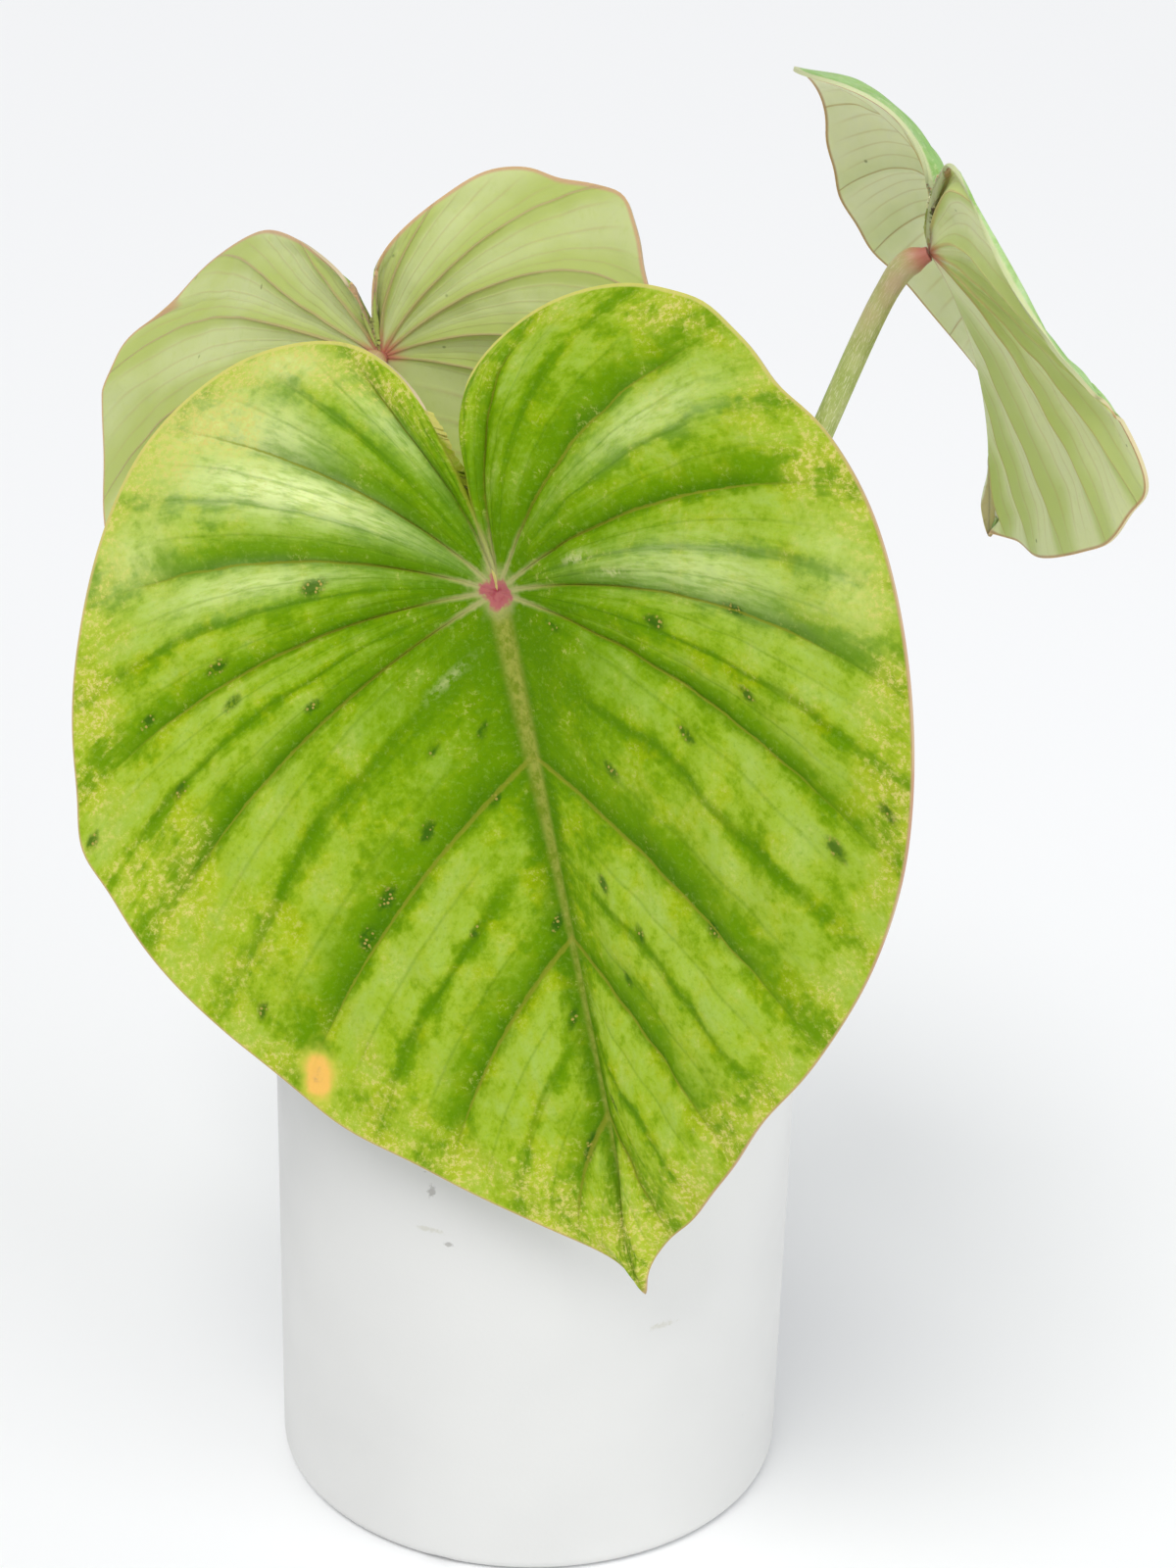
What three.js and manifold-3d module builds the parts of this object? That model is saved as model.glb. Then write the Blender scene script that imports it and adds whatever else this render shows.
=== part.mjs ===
/**
 * Potted Philodendron pastazanum, a young creeping aroid in a white cylinder pot.
 *
 * Millimetres, +Z up. The origin is the centre of the pot's base and the viewer stands on the -Y side.
 * Each leaf is a heart drawn flat from one half outline, then folded along its midrib, curled and hung from
 * its junction, the point where stalk, midrib and the two rear lobes meet.
 */
import * as THREE from 'three';
import { mergeVertices } from 'three/addons/utils/BufferGeometryUtils.js';
import Module from 'manifold-3d';

const wasm = await Module();
wasm.setup();
const { degToRad, smoothstep, clamp, lerp } = THREE.MathUtils;

// Pot and soil
const POT = {
  baseRadius: 62.5, rimRadius: 63, height: 128, wall: 4, floor: 6,
  baseRounding: 3.6, rimRounding: 1.8, innerRounding: 6, sides: 64,
};
const NOTCH = { count: 3, firstAngle: -108.5, width: 11, height: 1.6, depth: 5, sides: 40 };
const SOIL = { level: 112, relief: 0.65, dome: 1.25, rings: 8, sides: 44 };
// Waves of the soil's surface: their pitch along x and y, phase and height
const SOIL_WAVES = [
  [0.31, 0, 1.7, 1], [0.13, -0.41, 0.9, 0.6], [0.53, 0.47, 2.5, 0.4], [-0.08, 0.27, 1.2, 0.8],
];
const CLEARANCE = 0.3;
const CUT_TOLERANCE = 0.02;

// Creeping stem, half sunk in the soil
const RHIZOME = {
  route: [[-27, 13, 108], [-16, 9, 113], [0, 4, 114.5], [14, -1, 113.5], [22, -5, 111]],
  radius: 8, bluntness: 1, ringHeight: 0.8, ringPitch: 9, ringSharpness: 8, steps: 22, sides: 12,
};

// One half of the flat heart, as shares of the midrib's length: y runs towards the tip. The first point
// only steers the curve, the second is the junction.
const HALF_OUTLINE = [
  [0.024, 0.13], [0, 0], [0.012, -0.15], [0.04, -0.295], [0.15, -0.385], [0.3, -0.385], [0.43, -0.29],
  [0.53, -0.13], [0.59, 0.045], [0.6, 0.215], [0.56, 0.38], [0.475, 0.53], [0.36, 0.66], [0.235, 0.775],
  [0.115, 0.87], [0.03, 0.945], [0, 1],
];
const BASAL_SHARE = 0.64;

// Main veins, by their share round the margin. Their sweep, an angle of each leaf, is how much more level a
// vein leaves the midrib than it ends; it grows from the junction and eases towards the tip.
const VEINS = {
  shares: [0.1, 0.2, 0.33, 0.43, 0.53, 0.615, 0.72, 0.81, 0.9],
  sweepFrom: [0, 0.25], easeShare: 0.5, easeFrom: [0.5, 0.75], endFrom: [0.9, 1],
};
const PANEL_EDGES = [0, ...VEINS.shares, 1];
const BLADE = {
  thickness: 0.9, marginThickness: 0.7, midribDepth: 1.4, stepsPerPanel: 4, widePanel: 0.115,
  across: [0, 0.035, 0.14, 0.3, 0.47, 0.64, 0.8, 0.9, 0.95, 1],
};

// Where the relief rises and fades: the quilting by the share from midrib to margin, with its calm part at
// the sinus; the waves by the share round the margin.
const RELIEF = {
  quiltRise: [0, 0.3], quiltFade: [0.75, 1], calmShare: 0.2, calmFrom: [0.05, 0.15],
  waveRise: [0.02, 0.15], waveFade: [0.9, 1],
};

// How far to the rear and the front, in midrib lengths, the lobe and the tip values have come in fully
const LOBE_REACH = 0.4;
const LEAN_REACH = 0.35;
const TIP_FROM = 0.3;

// Curvature under which a bend counts as straight, and the share step used to find a direction
const STRAIGHT = 1e-7;
const SHARE_STEP = 0.01;

// Leaf poses: turn, tilt and roll place the blade at its junction. Fold and curl are the angles at the
// midrib and over one length across; the lobe values are added towards the rear. Bumps make the margin
// uneven, each by its share round the margin, its width and its height. Quilt and waves are in mm. The stalk
// arrives square to the blade unless its arrival gives another direction.
const LEAVES = {
  front: {
    length: 158, junction: [-9, -50, 241], turn: -30.5, tilt: 14.8, roll: 18,
    droop: 20, lift: -37, twist: 0, lean: -0.076, bow: 0.03, lobeLength: 1, sweep: 19, quilt: 2.2,
    left: {
      width: 1.075, lobe: 1, fold: 10, curl: 12.5, lobeFold: -9.5, lobeCurl: -11,
      bumps: [[0.55, 0.02, 0.022], [0.745, 0.035, 0.018]],
    },
    right: {
      width: 1.035, lobe: 1, fold: 10.5, curl: -6.5, lobeFold: -20.5, lobeCurl: 34.5,
      bumps: [[0.31, 0.02, 0.016], [0.37, 0.018, -0.022], [0.775, 0.03, -0.013], [0.865, 0.025, 0.009]],
    },
    tipFold: 0, tipCurl: 0, waves: 4, waveHeight: 1.4, wavePhase: 0.6,
    stalk: [[15, -2, 114], [15, -9, 135], [11, -16, 168], [6, -26, 207], [0, -37, 232]], stalkGap: 2.4,
  },
  back: {
    length: 118.5, junction: [-39.5, 32, 270.5], turn: 158, tilt: 8, roll: -16.5,
    droop: 35.5, lift: -7.5, twist: -23.5, lean: -0.03, bow: 0, lobeLength: 0.65, sweep: 26, quilt: 1.8,
    left: {
      width: 1.18, lobe: 1, fold: 4.5, curl: -44, lobeFold: 60.5, lobeCurl: 30,
      bumps: [[0.235, 0.025, 0.034], [0.3, 0.022, -0.036], [0.345, 0.014, 0.02], [0.395, 0.02, -0.012]],
    },
    right: {
      width: 1.39, lobe: 0.94, fold: -1, curl: 27.5, lobeFold: 27, lobeCurl: 62,
      bumps: [[0.366, 0.018, -0.035], [0.403, 0.016, 0.03], [0.5, 0.03, -0.012]],
    },
    tipFold: 0, tipCurl: 0, waves: 4, waveHeight: 1.2, wavePhase: 2.4,
    stalk: [[-17, 9, 114], [-20, 3, 136], [-29, -5, 172], [-40, -1, 215], [-46, 11, 250]], stalkGap: 2.6,
  },
  right: {
    length: 92.1, junction: [82.8, 0, 304.8], turn: 43.6, tilt: -13, roll: 31,
    droop: -3, lift: 81.5, twist: 8.5, lean: 0.03, bow: 0.08, lobeLength: 1.29, sweep: 19, quilt: 2.2,
    left: {
      width: 1.31, lobe: 1, fold: 76, curl: 5.5, lobeFold: -30.5, lobeCurl: 78,
      bumps: [
        [0.42, 0.035, -0.065], [0.505, 0.035, 0.05], [0.67, 0.05, -0.018],
        [0.81, 0.06, 0.03], [0.9, 0.05, 0.03],
      ],
      roll: { angle: -150, from: 0.94, stretch: 1.35, start: 0.02, full: 0.07, fade: 0.2, end: 0.44 },
    },
    right: {
      width: 1.11, lobe: 0.59, fold: -20, curl: -160, lobeFold: -72, lobeCurl: 94,
      bumps: [[0.5, 0.03, -0.024], [0.615, 0.03, 0.03]],
    },
    tipFold: 11.5, tipCurl: -54.5, waves: 5, waveHeight: 0.8, wavePhase: 1.2,
    stalk: [[4, 3, 115], [10, 1, 137], [28, -2, 177], [50, -1, 233], [61.5, 0, 265], [74, 1.5, 296]],
    stalkGap: 2.4, arrival: [0.85, -0.2, 0.5],
  },
};
const STALK = {
  straightEnd: 6, radius: 3.1, topRadius: 2.6, baseRadius: 4.2, baseFrom: 4, baseLength: 26,
  steps: 22, sides: 9,
};

const COLOURS = {
  ceramic: 0xe9ecee, soil: 0x3a2a20, stem: 0x6c6b35, stalk: 0x7f9440, leaf: 0x6ea51f,
};

/** Makes a plain indexed geometry from points and triangles, without triangles that have lost an edge. */
function geometryFrom(points, triangles) {
  const geometry = new THREE.BufferGeometry();
  geometry.setAttribute('position', new THREE.Float32BufferAttribute(points.flatMap((p) => p.toArray()), 3));
  geometry.setIndex(triangles.filter(([a, b, c]) => a !== b && b !== c && c !== a).flat());
  return geometry;
}

/** Turns a closed geometry into a solid that can be joined and cut. */
function solidFrom(geometry) {
  const bare = geometry.clone();
  bare.deleteAttribute('normal');
  bare.deleteAttribute('uv');
  const merged = mergeVertices(bare, 1e-4);
  const index = Array.from(merged.index.array);
  const kept = [];
  for (let i = 0; i < index.length; i += 3) {
    const [a, b, c] = index.slice(i, i + 3);
    if (a !== b && b !== c && c !== a) kept.push(a, b, c);
  }
  return new wasm.Manifold(new wasm.Mesh({
    numProp: 3, vertProperties: new Float32Array(merged.attributes.position.array),
    triVerts: new Uint32Array(kept),
  }));
}

/** Gives a solid back as a geometry, keeping only its largest body. */
function geometryOf(solid) {
  const body = solid.decompose().sort((a, b) => b.volume() - a.volume())[0].simplify(CUT_TOLERANCE);
  const mesh = body.getMesh();
  const geometry = new THREE.BufferGeometry();
  geometry.setAttribute('position', new THREE.BufferAttribute(new Float32Array(mesh.vertProperties), 3));
  geometry.setIndex(Array.from(mesh.triVerts));
  return geometry;
}

/** Adds a named mesh with its own material to the plant. */
function addPiece(group, name, geometry, colour, roughness) {
  geometry.computeVertexNormals();
  const material = new THREE.MeshStandardMaterial({ color: colour, roughness, metalness: 0 });
  const mesh = new THREE.Mesh(geometry, material);
  mesh.name = name;
  group.add(mesh);
}

/** Appends a quarter round to a lathe profile, from one angle to the other in degrees. */
function addRound(profile, centreX, centreY, radius, fromAngle, toAngle, steps) {
  for (let i = 0; i <= steps; i += 1) {
    const angle = degToRad(lerp(fromAngle, toAngle, i / steps));
    profile.push(new THREE.Vector2(centreX + radius * Math.cos(angle), centreY + radius * Math.sin(angle)));
  }
}

/** Inner radius of the pot at a height. */
function innerRadius(height) {
  return lerp(POT.baseRadius, POT.rimRadius, height / POT.height) - POT.wall;
}

/** The pot: one turned wall with a flat base, cut by the notches in its bottom edge. */
function makePot() {
  const { baseRadius, rimRadius, height, floor, baseRounding, rimRounding, innerRounding, sides } = POT;
  const profile = [new THREE.Vector2(0, 0)];
  addRound(profile, baseRadius - baseRounding, baseRounding, baseRounding, -90, 0, 4);
  addRound(profile, rimRadius - rimRounding, height - rimRounding, rimRounding, 0, 90, 3);
  addRound(profile, innerRadius(height) + rimRounding, height - rimRounding, rimRounding, 90, 180, 3);
  addRound(profile, innerRadius(floor) - innerRounding, floor + innerRounding, innerRounding, 0, -90, 3);
  profile.push(new THREE.Vector2(0, floor));
  const turned = new THREE.LatheGeometry(profile, sides).rotateX(Math.PI / 2);
  let pot = solidFrom(turned);
  const arch = (NOTCH.width ** 2 / 4 + NOTCH.height ** 2) / (2 * NOTCH.height);
  for (let i = 0; i < NOTCH.count; i += 1) {
    const cutter = new THREE.CylinderGeometry(arch, arch, 2 * NOTCH.depth, NOTCH.sides).rotateZ(Math.PI / 2);
    cutter.translate(baseRadius, 0, NOTCH.height - arch);
    cutter.rotateZ(degToRad(NOTCH.firstAngle + (i * 360) / NOTCH.count));
    pot = pot.subtract(solidFrom(cutter));
  }
  return geometryOf(pot);
}

/** Uneven height of the potting mix over a point. */
function soilHeight(x, y) {
  const rough = SOIL_WAVES.reduce((sum, [alongX, alongY, phase, height]) => (
    sum + height * Math.sin(x * alongX + y * alongY + phase)
  ), 0);
  const spread = Math.hypot(x, y) / innerRadius(SOIL.level);
  return SOIL.level + SOIL.dome * (1 - spread * spread) + SOIL.relief * rough;
}

/** The soil: fills the pot up to an uneven surface, with a trough for the creeping stem. */
function makeSoil(stemHole) {
  const low = POT.floor + CLEARANCE;
  const profile = [new THREE.Vector2(0, low)];
  const corner = innerRadius(POT.floor) - POT.innerRounding;
  addRound(profile, corner, low + POT.innerRounding, POT.innerRounding - CLEARANCE, -90, 0, 3);
  const top = innerRadius(SOIL.level) - CLEARANCE;
  for (let i = SOIL.rings; i >= 0; i -= 1) {
    profile.push(new THREE.Vector2((top * i) / SOIL.rings, SOIL.level));
  }
  const turned = new THREE.LatheGeometry(profile, SOIL.sides).rotateX(Math.PI / 2);
  const position = turned.attributes.position;
  for (let i = 0; i < position.count; i += 1) {
    if (position.getZ(i) > SOIL.level - 1) {
      position.setZ(i, soilHeight(position.getX(i), position.getY(i)));
    }
  }
  return geometryOf(solidFrom(turned).subtract(stemHole));
}

/** A closed round bar along a smooth route, with its radius given by the share of the way along it. */
function makeBar(route, radiusAt, steps, sides) {
  const curve = new THREE.CatmullRomCurve3(route.map((p) => new THREE.Vector3(...p)));
  const frames = curve.computeFrenetFrames(steps);
  const points = [];
  const triangles = [];
  for (let i = 0; i <= steps; i += 1) {
    const centre = curve.getPointAt(i / steps);
    for (let j = 0; j < sides; j += 1) {
      const angle = (2 * Math.PI * j) / sides;
      const reach = radiusAt(i / steps);
      points.push(centre.clone()
        .addScaledVector(frames.normals[i], reach * Math.cos(angle))
        .addScaledVector(frames.binormals[i], reach * Math.sin(angle)));
      const next = (j + 1) % sides;
      if (i < steps) {
        const here = i * sides;
        triangles.push([here + j, here + next, here + sides + next]);
        triangles.push([here + j, here + sides + next, here + sides + j]);
      }
    }
  }
  const last = steps * sides;
  const ends = [points.length, points.length + 1];
  points.push(curve.getPointAt(0), curve.getPointAt(1));
  for (let j = 0; j < sides; j += 1) {
    const next = (j + 1) % sides;
    triangles.push([ends[0], next, j]);
    triangles.push([ends[1], last + j, last + next]);
  }
  return geometryFrom(points, triangles);
}

/** Length of a smooth route. */
function routeLength(route) {
  return new THREE.CatmullRomCurve3(route.map((p) => new THREE.Vector3(...p))).getLength();
}

/** The creeping stem, ringed by old leaf scars and rounded at both ends. */
function makeRhizome(extra) {
  const { route, radius, bluntness, ringHeight, ringPitch, ringSharpness, steps, sides } = RHIZOME;
  const length = routeLength(route);
  const radiusAt = (share) => {
    const fromEnd = Math.min(share, 1 - share) * length;
    const round = Math.sqrt(clamp(1 - (1 - (fromEnd + bluntness) / radius) ** 2, 0, 1));
    const ring = ringHeight * Math.cos((2 * Math.PI * share * length) / ringPitch) ** ringSharpness;
    return (fromEnd < radius ? radius * round : radius) + ring * round + extra;
  };
  return makeBar(route, radiusAt, steps, sides);
}

/** A leaf stalk from the creeping stem to the junction, wider where it sheathes the stem. */
function makeStalk(leaf, extra) {
  const arrival = leaf.arrival ? new THREE.Vector3(...leaf.arrival).normalize() : leafAxes(leaf).out;
  const junction = new THREE.Vector3(...leaf.junction);
  const behind = (distance) => junction.clone().addScaledVector(arrival, -distance).toArray();
  const route = [...leaf.stalk, behind(STALK.straightEnd), behind(leaf.stalkGap)];
  const length = routeLength(route);
  const radiusAt = (share) => {
    const sheath = 1 - smoothstep(share * length, STALK.baseFrom, STALK.baseLength);
    return lerp(STALK.radius, STALK.topRadius, share) + (STALK.baseRadius - STALK.radius) * sheath + extra;
  };
  return makeBar(route, radiusAt, STALK.steps, STALK.sides);
}

const halfOutline = new THREE.SplineCurve(HALF_OUTLINE.map((p) => new THREE.Vector2(...p)));

/** How much the margin swells at share s by the bumps of its half. */
function marginScale(s, half) {
  return half.bumps.reduce((scale, [at, width, height]) => (
    scale + height * Math.exp(-(((s - at) / width) ** 2))
  ), 1);
}

/** Flat place, in midrib lengths, of the point at share s round the margin and t from midrib to margin. */
function flatPoint(s, t, half, leaf) {
  const steps = HALF_OUTLINE.length - 1;
  const margin = halfOutline.getPoint((1 + (steps - 1) * s) / steps);
  margin.x *= half.width;
  margin.y *= margin.y < 0 ? half.lobe * leaf.lobeLength : 1;
  margin.multiplyScalar(marginScale(s, half));
  const root = new THREE.Vector2(0, clamp((s - BASAL_SHARE) / (1 - BASAL_SHARE), 0, 1));
  const reach = margin.clone().sub(root);
  const grown = smoothstep(s, ...VEINS.sweepFrom) * (1 - smoothstep(s, ...VEINS.endFrom));
  const eased = lerp(1, VEINS.easeShare, smoothstep(s, ...VEINS.easeFrom));
  const sweep = degToRad(leaf.sweep) * grown * eased;
  const heading = Math.atan2(reach.x, reach.y) + sweep;
  const knee = new THREE.Vector2(Math.sin(heading), Math.cos(heading))
    .multiplyScalar(reach.length() / (2 * Math.cos(sweep))).add(root);
  return root.multiplyScalar((1 - t) ** 2)
    .addScaledVector(knee, 2 * t * (1 - t))
    .addScaledVector(margin, t * t);
}

/** The blade's own directions at its junction: right and up in the blade, and out of its upper side. */
function leafAxes(leaf) {
  const [turn, tilt, roll] = [leaf.turn, leaf.tilt, leaf.roll].map(degToRad);
  const [ahead, height] = [Math.cos(tilt), Math.sin(tilt)];
  const out = new THREE.Vector3(Math.sin(turn) * ahead, -Math.cos(turn) * ahead, height);
  const level = new THREE.Vector3(Math.cos(turn), Math.sin(turn), 0);
  const rise = out.clone().cross(level);
  const right = level.clone().multiplyScalar(Math.cos(roll)).addScaledVector(rise, Math.sin(roll));
  const up = level.clone().multiplyScalar(-Math.sin(roll)).addScaledVector(rise, Math.cos(roll));
  return { right, up, out };
}

/** Bends a length about a start angle: how far it goes across and how far it rises. */
function bend(length, startAngle, rate) {
  const curve = Math.abs(rate) < STRAIGHT ? STRAIGHT : rate;
  const endAngle = startAngle + curve * length;
  return [
    (Math.sin(endAngle) - Math.sin(startAngle)) / curve,
    (Math.cos(startAngle) - Math.cos(endAngle)) / curve,
  ];
}

/** Place of a point of the blade's middle surface; side is 1 on the upper face's right, -1 on its left. */
function bladePoint(s, t, side, leaf) {
  const half = side > 0 ? leaf.right : leaf.left;
  const { length } = leaf;
  const flat = flatPoint(s, t, half, leaf);
  const rear = smoothstep(-flat.y, 0, LOBE_REACH);
  const fore = smoothstep(flat.y, TIP_FROM, 1);
  const fold = half.fold + half.lobeFold * rear + leaf.tipFold * fore + side * leaf.twist * flat.y;
  const curl = half.curl + half.lobeCurl * rear + leaf.tipCurl * fore;
  const [across, rise] = bend(flat.x * length, degToRad(fold), degToRad(curl) / length);
  const [along, drop] = flat.y >= 0
    ? bend(flat.y * length, 0, degToRad(leaf.droop) / length)
    : bend(-flat.y * length, 0, -degToRad(leaf.lift) / length);
  const pitch = flat.y >= 0 ? degToRad(leaf.droop) * flat.y : -degToRad(leaf.lift) * flat.y;
  const onward = flat.y >= 0 ? along : -along;
  const ahead = clamp(flat.y, 0, 1);
  const bowed = leaf.bow * 4 * ahead * (1 - ahead) * (1 - t) ** 2;
  const x = side * across + (leaf.lean * smoothstep(-flat.y, 0, LEAN_REACH) + bowed) * length;
  const y = onward + Math.sin(pitch) * rise;
  const z = Math.cos(pitch) * rise - drop;
  const { right, up, out } = leafAxes(leaf);
  return new THREE.Vector3(...leaf.junction)
    .addScaledVector(right, x).addScaledVector(up, -y).addScaledVector(out, z);
}

/** The middle surface with its margin rolled: an arc that leaves the blade smoothly and turns off it. */
function rolledPoint(s, t, side, leaf) {
  const { roll } = side > 0 ? leaf.right : leaf.left;
  const window = roll ? smoothstep(s, roll.start, roll.full) * (1 - smoothstep(s, roll.fade, roll.end)) : 0;
  if (window === 0 || t <= roll.from) return bladePoint(s, t, side, leaf);
  const base = bladePoint(s, roll.from, side, leaf);
  const across = base.clone().sub(bladePoint(s, roll.from - SHARE_STEP, side, leaf)).divideScalar(SHARE_STEP);
  const round = bladePoint(s + SHARE_STEP, roll.from, side, leaf).sub(base).normalize();
  const upper = round.clone().cross(across).multiplyScalar(side).normalize();
  const slip = round.dot(across);
  const outward = across.addScaledVector(round, -slip);
  const past = t - roll.from;
  const reach = outward.length() * past * lerp(1, roll.stretch, window);
  const angle = (degToRad(roll.angle) * window * past) / (1 - roll.from);
  return base.addScaledVector(round, slip * past)
    .addScaledVector(outward.normalize(), (reach * Math.sin(angle)) / angle)
    .addScaledVector(upper, (reach * (1 - Math.cos(angle))) / angle);
}

/** Height of the quilting and of the margin's waves over the middle surface. */
function bladeRelief(s, t, side, leaf) {
  const panel = Math.min(PANEL_EDGES.findLastIndex((edge) => edge <= s), PANEL_EDGES.length - 2);
  const within = (s - PANEL_EDGES[panel]) / (PANEL_EDGES[panel + 1] - PANEL_EDGES[panel]);
  const swell = smoothstep(t, ...RELIEF.quiltRise) * (1 - smoothstep(t, ...RELIEF.quiltFade));
  const calm = lerp(RELIEF.calmShare, 1, smoothstep(s, ...RELIEF.calmFrom));
  const quilt = leaf.quilt * Math.sin(Math.PI * within) * swell * calm;
  const wave = leaf.waveHeight * t ** 3 * Math.sin(2 * Math.PI * leaf.waves * s + leaf.wavePhase * side);
  return quilt + wave * smoothstep(s, ...RELIEF.waveRise) * (1 - smoothstep(s, ...RELIEF.waveFade));
}

/** Shares round the margin at which the blade is divided: even steps in each panel between main veins. */
function marginShares() {
  const shares = [0];
  for (let i = 0; i + 1 < PANEL_EDGES.length; i += 1) {
    const [from, to] = [PANEL_EDGES[i], PANEL_EDGES[i + 1]];
    const steps = to - from > BLADE.widePanel ? BLADE.stepsPerPanel + 1 : BLADE.stepsPerPanel;
    for (let j = 1; j <= steps; j += 1) shares.push(lerp(from, to, j / steps));
  }
  return shares;
}

/** A leaf blade as a closed solid: both faces divided alike, with the midrib standing out underneath. */
function makeBlade(leaf) {
  const shares = marginShares();
  const lastShare = shares.length - 1;
  const ids = new Map();
  const middle = [];
  const depths = [];
  const vertex = (i, j, side) => {
    const onMidrib = j === 0 || i === 0 || i === lastShare;
    const s = i === 0 || (j === 0 && shares[i] <= BASAL_SHARE) ? 0 : shares[i];
    const t = onMidrib ? 0 : BLADE.across[j];
    const key = onMidrib ? `rib ${s}` : `${side} ${i} ${j}`;
    if (!ids.has(key)) {
      ids.set(key, middle.length);
      middle.push({ place: rolledPoint(s, t, side, leaf), relief: bladeRelief(s, t, side, leaf) });
      const thickness = lerp(BLADE.thickness, BLADE.marginThickness, t);
      const rib = onMidrib ? BLADE.midribDepth * (1 - clamp((s - BASAL_SHARE) / (1 - BASAL_SHARE), 0, 1)) : 0;
      depths.push([thickness / 2, thickness / 2 + rib]);
    }
    return ids.get(key);
  };
  const sheet = [];
  for (const side of [1, -1]) {
    for (let i = 0; i < lastShare; i += 1) {
      for (let j = 0; j + 1 < BLADE.across.length; j += 1) {
        const [a, b] = [vertex(i, j, side), vertex(i + 1, j, side)];
        const [c, d] = [vertex(i + 1, j + 1, side), vertex(i, j + 1, side)];
        sheet.push(...(side > 0 ? [[a, b, c], [a, c, d]] : [[a, c, b], [a, d, c]]));
      }
    }
  }
  const faces = sheet.filter(([a, b, c]) => a !== b && b !== c && c !== a);
  const smooth = geometryFrom(middle.map((m) => m.place), faces);
  smooth.computeVertexNormals();
  const normals = middle.map((m, i) => new THREE.Vector3().fromBufferAttribute(smooth.attributes.normal, i));
  const shift = (i, height) => middle[i].place.clone().addScaledVector(normals[i], middle[i].relief + height);
  const count = middle.length;
  const points = [
    ...middle.map((_, i) => shift(i, depths[i][0])), ...middle.map((_, i) => shift(i, -depths[i][1])),
  ];
  const triangles = [...faces, ...faces.map(([a, b, c]) => [a + count, c + count, b + count])];
  const used = new Set(faces.flatMap(([a, b, c]) => [`${a} ${b}`, `${b} ${c}`, `${c} ${a}`]));
  for (const edge of used) {
    const [a, b] = edge.split(' ').map(Number);
    if (!used.has(`${b} ${a}`)) triangles.push([a, a + count, b], [b, a + count, b + count]);
  }
  return geometryFrom(points, triangles);
}

const plant = new THREE.Group();
addPiece(plant, 'pot', makePot(), COLOURS.ceramic, 0.55);
addPiece(plant, 'soil', makeSoil(solidFrom(makeRhizome(CLEARANCE))), COLOURS.soil, 0.95);

let rhizome = solidFrom(makeRhizome(0));
for (const leaf of Object.values(LEAVES)) rhizome = rhizome.subtract(solidFrom(makeStalk(leaf, CLEARANCE)));
addPiece(plant, 'rhizome', geometryOf(rhizome), COLOURS.stem, 0.8);

for (const [name, leaf] of Object.entries(LEAVES)) {
  addPiece(plant, `petiole_${name}`, makeStalk(leaf, 0), COLOURS.stalk, 0.5);
  addPiece(plant, `blade_${name}`, makeBlade(leaf), COLOURS.leaf, 0.45);
}

export default plant;
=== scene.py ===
"""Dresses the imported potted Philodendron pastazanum, a young creeping aroid in a white cylinder pot.

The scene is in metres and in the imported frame: +Z up, the pot's base on z = 0, the viewer on the -Y side. The
plant's own measures are in millimetres and are turned into metres where a mesh gets its points.
"""

import logging
import math
from dataclasses import dataclass
from enum import Enum

import bpy
import numpy as np
from mathutils import Matrix, Vector


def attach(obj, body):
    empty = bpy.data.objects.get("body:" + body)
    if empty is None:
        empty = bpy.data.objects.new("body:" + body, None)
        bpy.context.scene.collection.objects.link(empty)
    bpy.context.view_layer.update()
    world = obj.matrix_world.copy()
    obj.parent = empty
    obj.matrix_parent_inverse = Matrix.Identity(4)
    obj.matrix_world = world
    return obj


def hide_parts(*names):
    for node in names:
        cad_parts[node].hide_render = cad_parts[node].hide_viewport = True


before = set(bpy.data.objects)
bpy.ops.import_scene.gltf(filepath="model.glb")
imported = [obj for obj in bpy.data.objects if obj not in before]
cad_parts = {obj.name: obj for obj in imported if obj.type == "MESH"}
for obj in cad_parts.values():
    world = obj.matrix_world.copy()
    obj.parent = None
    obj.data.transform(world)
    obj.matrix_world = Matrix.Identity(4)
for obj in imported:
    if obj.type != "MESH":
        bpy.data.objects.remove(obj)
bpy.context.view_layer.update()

logging.basicConfig(level=logging.INFO, format="%(message)s")
log = logging.getLogger("philodendron")

Array = np.ndarray
Colour = tuple[float, float, float]
Point = tuple[float, float, float]
Piece = bpy.types.Object
Material = bpy.types.Material
Socket = bpy.types.NodeSocket

MM = 0.001
FULL_TURN = 2.0 * math.pi


class Side(Enum):
    """The half of a blade, seen facing its upper side with the tip down."""

    RIGHT = 1
    LEFT = -1


class Mark(Enum):
    """What a patch on the blade shows, by the name of the attribute that it is painted in."""

    SPECK = "speck"
    BLOTCH = "blotch"
    AGED = "aged"
    # Painted sheen: pale highlights where light glances off the quilted crests.
    SILVER = "silver"
    VEIL = "veil"
    SCUFF = "scuff"


def smoothstep(value: Array, low: float, high: float) -> Array:
    """Eases from 0 at low to 1 at high."""
    share = np.clip((value - low) / (high - low), 0.0, 1.0)
    return share * share * (3.0 - 2.0 * share)


def lengths(vectors: Array) -> Array:
    """Length of each vector, with the last axis kept."""
    return np.maximum(np.linalg.norm(vectors, axis=-1, keepdims=True), 1e-9)


def curve_between(here: Array, there: Array, leave: Array, reach: Array, part: Array) -> Array:
    """The place on a smooth curve from here to there, by its slopes at both ends and the share of the way."""
    cubic = (2.0 * here - 2.0 * there + leave + reach) * part**3
    return cubic + (3.0 * there - 3.0 * here - 2.0 * leave - reach) * part**2 + leave * part + here


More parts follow.
